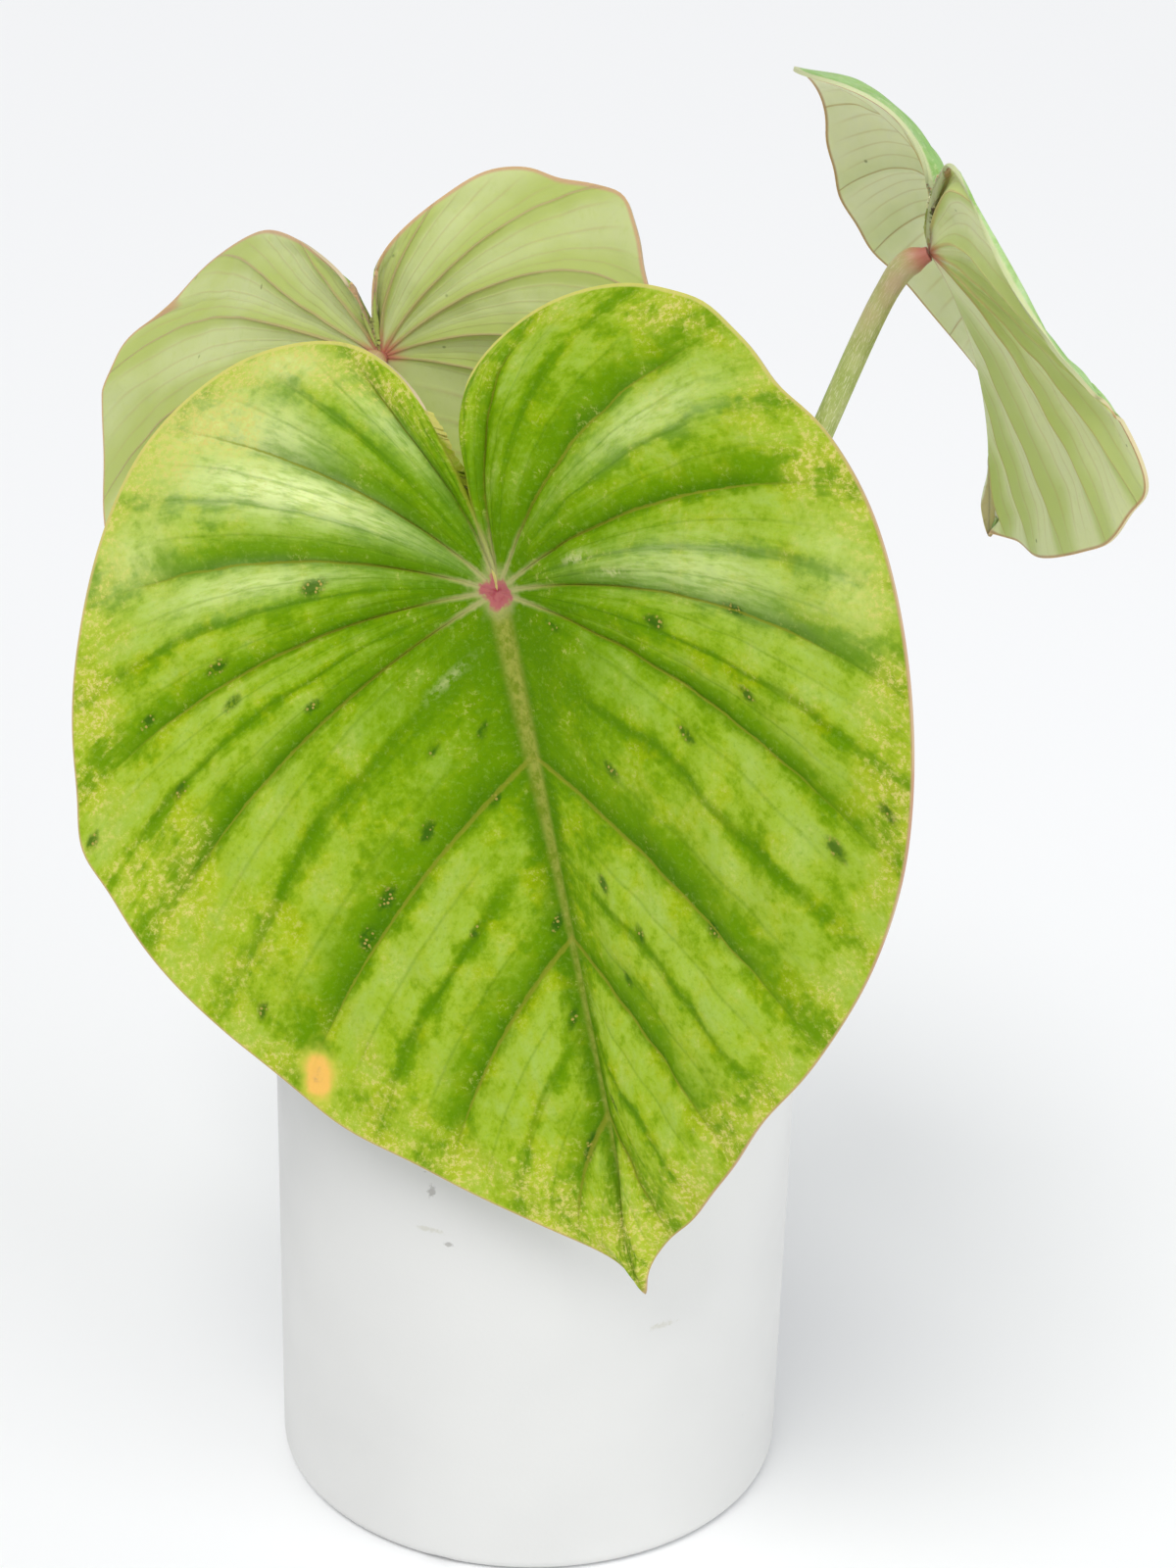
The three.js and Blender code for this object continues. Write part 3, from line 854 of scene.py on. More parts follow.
    def marked(self, look: BladeShading, colour: Socket) -> Socket:
        """The dark specks with their grains, the scuffs and the orange blotch.

        Args:
            look: The blade's material.
            colour: The face's colour so far.

        Returns:
            The colour with the marks.
        """
        speck = look.mark(Mark.SPECK)
        worn = speck * look.mottle.ease(0.3, 0.6, 0.6, 1.3)
        colour = look.blend(worn.ease(0.2, 1.0, 0.0, 0.8), colour, self.spot)
        grains = speck.ease(0.3, 0.8) * look.cells(look.flat, look.size / 1.1).ease(0.36, 0.2)
        colour = look.blend(grains, colour, self.grain)
        colour = look.blend(look.mark(Mark.SCUFF) * look.mottle.ease(0.42, 0.6), colour, self.scrape)
        blotch = look.mark(Mark.BLOTCH)
        frayed = blotch + (look.patchy - 0.5) * 0.9
        halo = frayed.ease(0.1, 0.5, 0.0, 0.8) * blotch.ease(0.02, 0.2)
        colour = look.blend(halo, colour, self.yellow)
        colour = look.blend(frayed.ease(0.35, 0.8, 0.0, 0.92), colour, self.orange)
        core = blotch.ease(0.86, 0.99) * look.mottle.ease(0.4, 0.6, 0.1, 0.7)
        return look.blend(core, colour, self.brown)

    def veined(self, look: BladeShading, colour: Socket) -> Socket:
        """The fine and the main veins, the midrib, the red spot at the junction and the margin's edge.

        Args:
            look: The blade's material.
            colour: The face's colour so far.

        Returns:
            The whole face's colour.
        """
        body = look.across.ease(0.06, 0.3) * look.across.ease(0.97, 0.7) * 0.25
        colour = look.blend(look.side_vein(self.side_veins).ease(0.42, 0.5) * body, colour, self.deep)
        line = (look.vein + (look.mottle - 0.5) * 0.9) / look.across.ease(0.0, 0.9, 0.6, 0.24)
        trace = line.ease(1.3, 0.5, 0.0, 0.7) * look.across.ease(0.94, 0.66)
        colour = look.blend(trace, colour, self.vein)
        pale = line.ease(1.9, 0.4, 0.0, 0.75) * look.root.ease(20.0, 5.0)
        colour = look.blend(pale, colour, self.root)
        rib = (look.rib + (look.mottle - 0.5) * 1.2) / look.root.ease(10.0, look.size * 0.5, 1.9, 1.0)
        bar = rib.ease(1.3, 0.3, 0.0, 0.92) * look.root.ease(20.0, 90.0, 1.0, 0.7)
        rib_colour = look.blend(look.mottle.ease(0.35, 0.62), self.midrib, self.midrib_top)
        colour = look.blend(bar, colour, rib_colour)
        ragged = look.root + look.noise(look.flat, look.size / 5.0, 3.0, 0.6) * 9.0
        colour = look.blend(ragged.ease(12.0, 7.6, 0.0, 0.6), colour, self.root)
        colour = look.blend(ragged.ease(8.8, 7.4), colour, self.flush)
        dark = ragged.ease(7.0, 5.2) * look.noise(look.flat, look.size / 3.0).ease(0.4, 0.6)
        colour = look.blend(dark, colour, self.crimson)
        lobe = look.measure("lobe_share")
        edge = (look.rim - lobe * 0.5).ease(0.6, 0.1, 0.0, 0.85)
        return look.blend(edge, colour, look.blend(lobe, self.edge, self.cream))


@dataclass(frozen=True)
class UnderFinish:
    """Pale matte underside with fine raised veins, painted shade across the ribs and painted sheen on its right
    half.
    """

    sage: Colour = (0.44, 0.51, 0.14)
    pale: Colour = (0.56, 0.61, 0.28)
    # The pale colour of the painted sheen haze.
    sheen_white: Colour = (0.92, 0.92, 0.74)
    vein: Colour = (0.45, 0.34, 0.17)
    flush: Colour = (0.56, 0.16, 0.12)
    edge: Colour = (0.55, 0.36, 0.2)
    fleck: Colour = (0.16, 0.2, 0.05)
    # How strongly the painted light and shade across each panel shows.
    ridge_shading: float = 0.25
    # How strongly the painted sheen haze shows on the right half.
    sheen_haze: float = 0.0
    through: float = 0.2
    glow: Point = (0.6, 1.0, 0.2)
    side_veins: float = 50.0

    def material(self, leaf: "LeafShape") -> Material:
        """The underside's material for one leaf.

        Args:
            leaf: The leaf that it is for.

        Returns:
            The material.
        """
        look = BladeShading(f"leaf_underside_{leaf.name}", leaf.length, 0.62, 0.3)
        # Painted light and shade: lighter through the middle of each panel, darker next to the veins, for the
        # raised ribs.
        lit_ridge = look.within.ease(0.0, 0.3) * look.within.ease(0.95, 0.4)
        tone = look.cloud * 0.45 + look.streak * 0.2 + lit_ridge * self.ridge_shading
        colour = look.blend(tone.ease(0.3, 0.66), self.sage, self.pale)
        colour = look.blend(look.mottle.ease(0.5, 0.3, 0.0, 0.25), colour, self.sage)
        # Painted sheen: a pale haze over the right half.
        right_half = look.course.ease(1.6, 1.4) * look.patchy.ease(0.3, 0.7, 0.8, 1.0)
        colour = look.blend(right_half * self.sheen_haze, colour, self.sheen_white)
        fleck = look.cells(look.flat, look.size / 9.0).ease(0.07, 0.03) * 0.7
        colour = look.blend(fleck, colour, self.fleck)
        side_vein = look.side_vein(self.side_veins)
        body = look.across.ease(0.03, 0.2) * look.across.ease(0.99, 0.85) * 0.3
        colour = look.blend(side_vein.ease(0.38, 0.5) * body, colour, self.vein)
        line = look.vein / look.across.ease(0.0, 0.95, 0.2, 0.12)
        colour = look.blend(line.ease(1.7, 0.4, 0.0, 0.7), colour, self.vein)
        colour = look.blend(look.rib.ease(1.1, 0.8, 0.0, 0.75), colour, self.vein)
        near = (look.root + look.patchy * 3.0).ease(10.0, 3.0) * line.ease(6.0, 1.0, 0.15, 0.85)
        colour = look.blend(near, colour, self.flush)
        look.set("Base Color", look.blend(look.rim.ease(0.9, 0.3), colour, self.edge))
        look.let_through(self.through, self.glow, 0.0012)
        raised = look.bump(line.ease(2.4, 0.3), 0.0003, 0.5)
        small = look.bump(side_vein.ease(0.3, 0.5), 0.0003, 0.3, raised)
        look.set("Normal", look.bump(look.mottle, 0.00015, 0.4, small))
        return look.material


@dataclass(frozen=True)
class EdgeFinish:
    """The thin pinkish margin of a blade."""

    pink: Colour = (0.47, 0.27, 0.16)
    cream: Colour = (0.62, 0.54, 0.33)

    def material(self, leaf: "LeafShape") -> Material:
        """The margin's material for one leaf.

        Args:
            leaf: The leaf that it is for.

        Returns:
            The material.
        """
        look = Shading(f"leaf_margin_{leaf.name}", specular=0.4)
        tone = look.noise(look.map("flat"), 9.0)
        colour = look.blend(tone.ease(0.4, 0.6, 0.0, 0.4), self.pink, self.cream)
        look.set("Base Color", look.blend(look.measure("lobe_share") * 0.8, colour, self.cream))
        return look.material


# The leaves

HALF_OUTLINE = np.array((
    (0.024, 0.13), (0.0, 0.0), (0.012, -0.15), (0.04, -0.295), (0.15, -0.385), (0.3, -0.385), (0.43, -0.29),
    (0.53, -0.13), (0.59, 0.045), (0.6, 0.215), (0.56, 0.38), (0.475, 0.53), (0.36, 0.66), (0.235, 0.775),
    (0.115, 0.87), (0.03, 0.945), (0.0, 1.0),
))
BASAL_SHARE = 0.64
TIP_STRAIGHTENING = 0.5
PANEL_EDGES = np.array((0.0, 0.1, 0.2, 0.33, 0.43, 0.53, 0.615, 0.72, 0.81, 0.9, 1.0))
PANELS = len(PANEL_EDGES) - 1
FULL_LENGTH = 158.0
STEP = 0.01


@dataclass(frozen=True)
class MarginRoll:
    """A stretch of margin that rolls off the blade's face, by shares round the margin."""

    angle: float
    start_across: float
    stretch: float
    start: float
    full: float
    fade: float
    end: float

    def window(self, share: Array) -> Array:
        """How much of the roll there is at each share round the margin."""
        return smoothstep(share, self.start, self.full) * (1.0 - smoothstep(share, self.fade, self.end))


@dataclass(frozen=True, kw_only=True)
class BladeHalf:
    """One half of a blade: its width, its fold and curl in degrees with what the lobe adds, and the bumps of
    its margin by share round the margin, width and height.
    """

    width: float
    lobe: float = 1.0
    fold: float
    curl: float
    lobe_fold: float
    lobe_curl: float
    bumps: tuple[Point, ...]
    roll: MarginRoll | None = None


@dataclass(frozen=True)
class Patch:
    """A mark on the upper face: its half, its place by shares, its half sizes in mm and its strength."""

    mark: Mark
    side: Side
    share: float
    across: float
    aside: float
    along: float
    strength: float = 1.0


@dataclass(frozen=True, kw_only=True)
class LeafShape:
    """How one leaf hangs: all in mm, degrees and shares of the midrib's length."""

    name: str
    length: float
    junction: Point
    turn: float
    tilt: float
    roll: float
    droop: float
    lift: float
    twist: float = 0.0
    lean: float
    bow: float = 0.0
    lobe_length: float = 1.0
    sweep: float = 19.0
    left: BladeHalf
    right: BladeHalf
    tip_fold: float = 0.0
    tip_curl: float = 0.0
    waves: float = 4.0
    wave_height: float
    wave_phase: float
    quilt: float = 2.2
    stalk: tuple[Point, ...]
    seed: int
    arrival: Point | None = None
    patches: tuple[Patch, ...] = ()

    def half(self, side: Side) -> BladeHalf:
        """The numbers of one half."""
        return self.right if side is Side.RIGHT else self.left

    def axes(self) -> tuple[Array, Array, Array]:
        """The blade's own right, up and outward directions at its junction.

        Returns:
            The three directions.
        """
        turn, tilt, roll = (math.radians(angle) for angle in (self.turn, self.tilt, self.roll))
        level = np.array((math.cos(turn), math.sin(turn), 0.0))
        out = np.array((math.sin(turn) * math.cos(tilt), -math.cos(turn) * math.cos(tilt), math.sin(tilt)))
        rise = np.cross(out, level)
        right = level * math.cos(roll) + rise * math.sin(roll)
        up = rise * math.cos(roll) - level * math.sin(roll)
        return right, up, out


def outline(share: Array) -> Array:
    """The flat margin of one half, as a smooth curve through its outline points.

    Args:
        share: Share round the margin, 0 at the junction and 1 at the tip.

    Returns:
        Rows of x outwards and y towards the tip, in midrib lengths.
    """
    last = len(HALF_OUTLINE) - 1
    along = 1.0 + (last - 1) * share
    first = np.clip(np.floor(along).astype(int), 1, last - 1)
    before, here = HALF_OUTLINE[first - 1], HALF_OUTLINE[first]
    there, after = HALF_OUTLINE[first + 1], HALF_OUTLINE[np.minimum(first + 2, last)]
    part = (along - first)[..., None]
    return curve_between(here, there, (there - before) / 2.0, (after - here) / 2.0, part)


def bend(length: Array, start: Array, rate: Array) -> tuple[Array, Array]:
    """Bends a length about a start angle: how far it goes across and how far it rises.

    Args:
        length: The length.
        start: Its angle at the start, in radians.
        rate: How fast it turns, in radians for each unit of length.

    Returns:
        The way across and the rise.
    """
    rate = np.where(np.abs(rate) < 1e-7, 1e-7, rate)
    end = start + rate * length
    return (np.sin(end) - np.sin(start)) / rate, (np.cos(start) - np.cos(end)) / rate


def beside_line(gap: Array, course: Array) -> Array:
    """How far a gap reaches away from a line that runs along a course."""
    course = course / lengths(course)
    return np.abs(gap[..., 0] * course[..., 1] - gap[..., 1] * course[..., 0])


@dataclass(frozen=True)
class LeafSurface:
    """The middle surface of a blade, by the share round the margin and the share from midrib to margin."""

    shape: LeafShape
    fine_quilt: float = 0.22
    pucker: float = 0.3
    pucker_pitch: float = 11.0

    def flat(self, share: Array, across: Array, side: Side) -> Array:
        """The place on the flat blade, in midrib lengths.

        Args:
            share: Share round the margin, 0 at the junction and 1 at the tip.
            across: Share from midrib to margin.
            side: Which half.

        Returns:
            Rows of x outwards and y towards the tip.
        """
        share, across = np.broadcast_arrays(np.asarray(share, float), np.asarray(across, float))
        half = self.shape.half(side)
        margin = outline(share) * np.array((half.width, 1.0))
        rear = margin[..., 1] < 0.0
        margin[..., 1] = np.where(rear, margin[..., 1] * half.lobe * self.shape.lobe_length, margin[..., 1])
        swell = sum(height * np.exp(-(((share - place) / width) ** 2)) for place, width, height in half.bumps)
        margin = margin * (1.0 + swell)[..., None]
        along = np.clip((share - BASAL_SHARE) / (1.0 - BASAL_SHARE), 0.0, 1.0)
        root = np.stack((np.zeros_like(along), along), axis=-1)
        reach = margin - root
        sweep = math.radians(self.shape.sweep) * smoothstep(share, 0.0, 0.25)
        sweep = sweep * (1.0 - smoothstep(share, 0.9, 1.0))
        sweep = sweep * (1.0 - TIP_STRAIGHTENING * smoothstep(share, 0.5, 0.75))
        heading = np.arctan2(reach[..., 0], reach[..., 1]) + sweep
        half_way = (lengths(reach)[..., 0] / (2.0 * np.cos(sweep)))[..., None]
        knee = root + half_way * np.stack((np.sin(heading), np.cos(heading)), axis=-1)
        part = across[..., None]
        return root * (1.0 - part) ** 2 + 2.0 * knee * part * (1.0 - part) + margin * part**2

    def bent(self, share: Array, across: Array, side: Side) -> Array:
        """The place in mm, before the margin is rolled.

        Args:
            share: Share round the margin, 0 at the junction and 1 at the tip.
            across: Share from midrib to margin.
            side: Which half.

        Returns:
            Rows of x, y and z.
        """
        shape, half, sign = self.shape, self.shape.half(side), side.value
        flat = self.flat(share, across, side)
        x, y = flat[..., 0], flat[..., 1]
        rear, fore = smoothstep(-y, 0.0, 0.4), smoothstep(y, 0.3, 1.0)
        fold = half.fold + half.lobe_fold * rear + shape.tip_fold * fore + sign * shape.twist * y
        curl = half.curl + half.lobe_curl * rear + shape.tip_curl * fore
        out_by, rise = bend(x * shape.length, np.radians(fold), np.radians(curl) / shape.length)
        front = y >= 0.0
        droop = np.where(front, math.radians(shape.droop), -math.radians(shape.lift))
        pitch = droop * y
        onward, drop = bend(np.abs(y) * shape.length, 0.0, droop / shape.length)
        onward = np.where(front, onward, -onward)
        ahead = np.clip(y, 0.0, 1.0)
        bowed = shape.bow * 4.0 * ahead * (1.0 - ahead) * (1.0 - across) ** 2
        over = sign * out_by + (shape.lean * smoothstep(-y, 0.0, 0.35) + bowed) * shape.length
        down = onward + np.sin(pitch) * rise
        off = np.cos(pitch) * rise - drop
        right, up, out = shape.axes()
        middle = np.array(shape.junction)
        return middle + over[..., None] * right - down[..., None] * up + off[..., None] * out

    def place(self, share: Array, across: Array, side: Side) -> Array:
        """The place in mm, with the margin rolled where this half has a roll.

        Args:
            share: Share round the margin, 0 at the junction and 1 at the tip.
            across: Share from midrib to margin.
            side: Which half.

        Returns:
            Rows of x, y and z.
        """
        plain = self.bent(share, across, side)
        roll = self.shape.half(side).roll
        if roll is None:
            return plain
        window = roll.window(share)
        start = np.full_like(across, roll.start_across)
        base = self.bent(share, start, side)
        onward = self.bent(share + STEP, start, side) - base
        onward = onward / lengths(onward)
        tangent = (base - self.bent(share, start - STEP, side)) / STEP
        upper = np.cross(onward, tangent) * side.value
        upper /= lengths(upper)
        slip = np.sum(onward * tangent, axis=-1, keepdims=True)
        outward = tangent - slip * onward
        past = across - roll.start_across
        reach = lengths(outward)[..., 0] * past * (1.0 + (roll.stretch - 1.0) * window)
        angle = math.radians(roll.angle) * window * past / (1.0 - roll.start_across)
        angle = np.where(np.abs(angle) < 1e-6, 1e-6, angle)
        rolled = base + slip * past[..., None] * onward
        rolled = rolled + (reach * np.sin(angle) / angle)[..., None] * outward / lengths(outward)
        rolled = rolled + (reach * (1.0 - np.cos(angle)) / angle)[..., None] * upper
        return np.where(((window > 0.0) & (past > 0.0))[..., None], rolled, plain)

    @staticmethod
    def panel(share: Array) -> tuple[Array, Array]:
        """The shares of the main veins before and after each share."""
        panel = np.clip(np.searchsorted(PANEL_EDGES, share, side="right") - 1, 0, PANELS - 1)
        return PANEL_EDGES[panel], PANEL_EDGES[panel + 1]

    def relief(self, share: Array, across: Array, side: Side) -> Array:
        """Height in mm of the quilting, the fine puckers and the margin's waves.

        Args:
            share: Share round the margin, 0 at the junction and 1 at the tip.
            across: Share from midrib to margin.
            side: Which half.

        Returns:
            The heights.
        """
        shape = self.shape
        before, after = self.panel(share)
        within = (share - before) / (after - before)
        swell = smoothstep(across, 0.0, 0.3) * (1.0 - smoothstep(across, 0.75, 1.0))
        scale = shape.length / FULL_LENGTH
        pillow = shape.quilt * np.sin(math.pi * within)
        small = self.fine_quilt * scale * np.abs(np.sin(4.0 * math.pi * within))
        flat = self.flat(share, across, side) * shape.length
        apart = 500.0 * side.value
        rough = ripple(flat[..., 0] + apart, flat[..., 1], self.pucker_pitch, shape.seed)
        pucker = self.pucker * scale * rough
        wave = np.sin(FULL_TURN * shape.waves * share + shape.wave_phase * side.value)
        wave = shape.wave_height * across**3 * wave * smoothstep(share, 0.02, 0.15)
        calm = 0.2 + 0.8 * smoothstep(share, 0.05, 0.15)
        return (pillow + small + pucker) * swell * calm + wave * (1.0 - smoothstep(share, 0.9, 1.0))

    def vein_distance(self, share: Array, across: Array, side: Side) -> Array:
        """Distance in mm to the nearest main vein.

        Args:
            share: Share round the margin, 0 at the junction and 1 at the tip.
            across: Share from midrib to margin.
            side: Which half.

        Returns:
            The distances.
        """
        here = self.flat(share, across, side)
        nearest = np.full(share.shape, 1e3)
        for edge, missing in zip(self.panel(share), (0.0, 1.0)):
            there = self.flat(edge, across, side)
            course = self.flat(edge, across + STEP, side) - there
            away = beside_line(here - there, course) * self.shape.length
            nearest = np.where(edge == missing, nearest, np.minimum(nearest, away))
        return nearest

    def rim_distance(self, share: Array, across: Array, side: Side, step: float = 0.004) -> Array:
        """Distance in mm to the margin, whose course is read over a step to either side.

        Args:
            share: Share round the margin, 0 at the junction and 1 at the tip.
            across: Share from midrib to margin.
            side: Which half.
            step: That step's share round the margin.

        Returns:
            The distances.
        """
        rim = np.ones_like(across)
        course = self.flat(np.minimum(share + step, 1.0), rim, side)
        course = course - self.flat(np.maximum(share - step, 0.0), rim, side)
        gap = self.flat(share, rim, side) - self.flat(share, across, side)
        return beside_line(gap, course) * self.shape.length

    def patch_strength(self, mark: Mark, share: Array, across: Array, side: Side) -> Array:
        """How strongly the patches of one kind show at each place, 0 to 1.

        Args:
            mark: The kind of patch.
            share: Share round the margin, 0 at the junction and 1 at the tip.
            across: Share from midrib to margin.
            side: Which half.

        Returns:
            The strengths.
        """
        shown = np.zeros(share.shape)
        for patch in self.shape.patches:
            if patch.mark is not mark or patch.side is not side:
                continue
            round_by, out_by = np.array((0.0, STEP, 0.0)), np.array((0.0, 0.0, STEP))
            spots = self.flat(patch.share + round_by, patch.across + out_by, side)
            aside, along = lengths(spots[1:] - spots[0])[:, 0] / STEP * self.shape.length
            far = ((share - patch.share) * aside / patch.aside) ** 2
            far = far + ((across - patch.across) * along / patch.along) ** 2
            shown = np.maximum(shown, patch.strength * np.exp(-far))
        return shown


@dataclass(frozen=True)
class LeafBlade:
    """One heart-shaped blade: two halves laid on the leaf's surface, welded, and given its thickness."""

    surface: LeafSurface
    materials: tuple[Material, Material, Material]
    steps_round: int = 24
    steps_across: int = 78
    thickness: float = 0.8
    midrib_width: float = 2.6
    midrib_least: float = 0.35
    midrib_height: float = 1.3
    vein_height: float = 0.18
    crowding: float = 0.35

    def half(self, side: Side) -> Piece:
        """Lays one half's grid on the middle surface and paints what its finish reads.

        Args:
            side: Which half.

        Returns:
            The half, with its upper face outwards.
        """
        surface, shape = self.surface, self.surface.shape
        grid, course, row = new_grid(PANELS * self.steps_round, self.steps_across)
        share = np.interp(course * PANELS, np.arange(PANELS + 1), PANEL_EDGES)
        across = row * (1.0 + self.crowding - self.crowding * row)
        spot = (share, across, side)
        set_points(grid, surface.place(*spot) * MM)
        set_map(grid, "course", np.stack((course + (2.0 if side is Side.LEFT else 0.0), across), axis=-1))
        flat = surface.flat(*spot)
        set_map(grid, "flat", np.stack((flat[:, 0] * side.value, flat[:, 1]), axis=-1))
        off = flat * shape.length
        from_root = np.hypot(off[:, 0], off[:, 1])
        ahead = np.clip(flat[:, 1], 0.0, 1.0)
        rib = np.where(flat[:, 1] > 0.0, off[:, 0], from_root)
        half_width = self.midrib_width * shape.length / FULL_LENGTH * (1.0 - ahead) ** 0.8 * 0.5
        half_width = half_width + self.midrib_least
        measures = {
            "relief": surface.relief(*spot), "vein_mm": surface.vein_distance(*spot),
            "rim_mm": surface.rim_distance(*spot), "root_mm": from_root, "rib_share": rib / half_width,
            "ahead": ahead, "across": across, "lobe_share": 1.0 - smoothstep(share, 0.3, 0.5),
        }
        measures |= {mark.value: surface.patch_strength(mark, *spot) for mark in Mark}
        for name, values in measures.items():
            paint(grid, name, values)
        if side is Side.LEFT:
            edit(grid, select="SELECT")
            bpy.ops.mesh.flip_normals()
            close_edit()
        return grid

    def build(self) -> None:
        """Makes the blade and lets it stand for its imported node."""
        name = self.surface.shape.name
        blade = joined([self.half(Side.RIGHT), self.half(Side.LEFT)], f"leaf_{name}")
        weld(blade)
        for material in self.materials:
            blade.data.materials.append(material)
        raise_points(blade, painted(blade, "relief"))
        lower = blade.vertex_groups.new(name="underside")
        apply_modifier(
            blade, "SOLIDIFY", thickness=self.thickness * MM, offset=0.0, shell_vertex_group=lower.name,
            material_offset=1, material_offset_rim=2,
        )
        self.raise_ribs(blade, lower.index)
        finish(blade, 50.0)
        stand_for(blade, f"blade_{name}")

    def raise_ribs(self, blade: Piece, lower: int) -> None:
        """Raises the midrib and the main veins on the underside.

        Args:
            blade: The blade with its thickness.
            lower: The index of the underside's vertex group.
        """
        below = np.array([
            any(member.group == lower and member.weight > 0.5 for member in vertex.groups)
            for vertex in blade.data.vertices
        ])
        ahead, across = painted(blade, "ahead"), painted(blade, "across")
        rib = self.midrib_height * (1.0 - ahead) * (1.0 - smoothstep(painted(blade, "rib_share"), 0.3, 1.3))
        vein = self.vein_height * (1.0 - across) * (1.0 - smoothstep(painted(blade, "vein_mm"), 0.2, 1.3))
        raise_points(blade, np.where(below, np.maximum(rib, vein), 0.0))


# The stalks and the creeping stem


def smooth_route(stops: Array, steps: int) -> tuple[Array, Array]:
    """A smooth line through stops, stepped evenly by length.

    Args:
        stops: The places that the line goes through.
        steps: How many steps the line is given.

    Returns:
        The places along the line, and the distance to each from its start.
    """
    ends = np.vstack((2.0 * stops[0] - stops[1], stops, 2.0 * stops[-1] - stops[-2]))
    part = np.linspace(0.0, 1.0, 60, endpoint=False)[:, None]
    fine = []
    for i in range(1, len(ends) - 2):
        p0, p1, p2, p3 = ends[i - 1:i + 3]
        spans = ((p0, p1), (p1, p2), (p2, p3))
        d0, d1, d2 = (max(float(np.linalg.norm(b - a)) ** 0.5, 1e-4) for a, b in spans)
        leave = ((p1 - p0) / d0 - (p2 - p0) / (d0 + d1) + (p2 - p1) / d1) * d1
        reach = ((p2 - p1) / d1 - (p3 - p1) / (d1 + d2) + (p3 - p2) / d2) * d1
        fine.append(curve_between(p1, p2, leave, reach, part))
    line = np.vstack((*fine, stops[-1:]))
    run = np.concatenate(([0.0], np.cumsum(np.linalg.norm(np.diff(line, axis=0), axis=1))))
    even = np.linspace(0.0, run[-1], steps + 1)
    return np.stack([np.interp(even, run, line[:, k]) for k in range(3)], axis=-1), even


def carried_frames(line: Array) -> tuple[Array, Array]:
    """Two crosswise directions at each step of a line, carried along without twist.

    Args:
        line: The places along the line.

    Returns:
        The first and the second direction at each place.
    """
    tangents = np.gradient(line, axis=0)
    tangents /= lengths(tangents)
    first = np.cross(tangents[0], (0.0, 1.0, 0.0))
    normals = [first / np.linalg.norm(first)]
    for tangent in tangents[1:]:
        carried = normals[-1] - tangent * np.dot(normals[-1], tangent)
        normals.append(carried / np.linalg.norm(carried))
    return np.array(normals), np.cross(tangents, normals)


def round_steps(sides: int) -> Array:
    """The angle of each step round a bar."""
    return np.linspace(0.0, FULL_TURN, sides, endpoint=False)


def bar_along(name: str, line: Array, reach: Array) -> tuple[Piece, Array, Array]:
    """An open round bar along a line.

    Args:
        name: The piece's name.
        line: The places along its middle, in mm.
        reach: The radii in mm, one row for each place and one column for each step round it.

    Returns:
        The bar, with each vertex's step along the line and its share of the way round.
    """
    steps, sides = len(line) - 1, reach.shape[1]
    bar, along, around = new_grid(steps, sides)
    row = np.rint(along * steps).astype(int)
    column = np.rint(around * sides).astype(int) % sides
    first, second = carried_frames(line)
    angle = FULL_TURN * column / sides
    radius = reach[row, column][:, None]
    places = line[row] + radius * (np.cos(angle)[:, None] * first[row] + np.sin(angle)[:, None] * second[row])
    set_points(bar, places * MM)
    return named(bar, name), row, around


def close_bar(bar: Piece) -> None:
    """Welds a bar's seam and closes its ends."""
    weld(bar)
    cap(bar)


@dataclass(frozen=True)
class LeafStalk:
    """A leaf's stalk, from the creeping stem to the underside of its blade."""

    shape: LeafShape
    material: Material
    radius: float = 3.1
    top_radius: float = 2.6
    base_radius: float = 4.2
    base_start: float = 4.0
    base_length: float = 26.0
    straight_end: float = 6.0
    seat: float = 0.5
    joint_swell: float = 0.35
    joint_length: float = 14.0
    end_taper: float = 0.45
    taper_length: float = 4.0
    ribs: float = 7.0
    steps: int = 190
    sides: int = 36

    def build(self) -> None:
        """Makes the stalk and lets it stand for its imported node."""
        arrival = np.array(self.shape.arrival or self.shape.axes()[2])
        arrival /= np.linalg.norm(arrival)
        top = np.array(self.shape.junction)
        stops = (*self.shape.stalk, top - arrival * self.straight_end, top - arrival * self.seat)
        line, run = smooth_route(np.array(stops, float), self.steps)
        length = run[-1]
        reach = self.radius + (self.top_radius - self.radius) * run / length
        base = 1.0 - smoothstep(run, self.base_start, self.base_length)
        reach = reach + (self.base_radius - self.radius) * base
        joint = smoothstep(run, length - self.joint_length, length - self.taper_length)
        reach = reach + self.joint_swell * joint
        reach = reach * (1.0 - self.end_taper * smoothstep(run, length - self.taper_length, length))
        around = round_steps(self.sides)
        ribbed = 1.0 + 0.012 * np.sin(self.ribs * around) + 0.02 * np.cos(2.0 * around)
        bar, row, turn = bar_along(f"stalk_{self.shape.name}", line, reach[:, None] * ribbed)
        set_map(bar, "wrap", np.stack((run[row] / 10.0, turn), axis=-1))
        paint(bar, "below_blade", length - run[row])
        close_bar(bar)
        finish(bar, 50.0, self.material)
        stand_for(bar, f"petiole_{self.shape.name}")


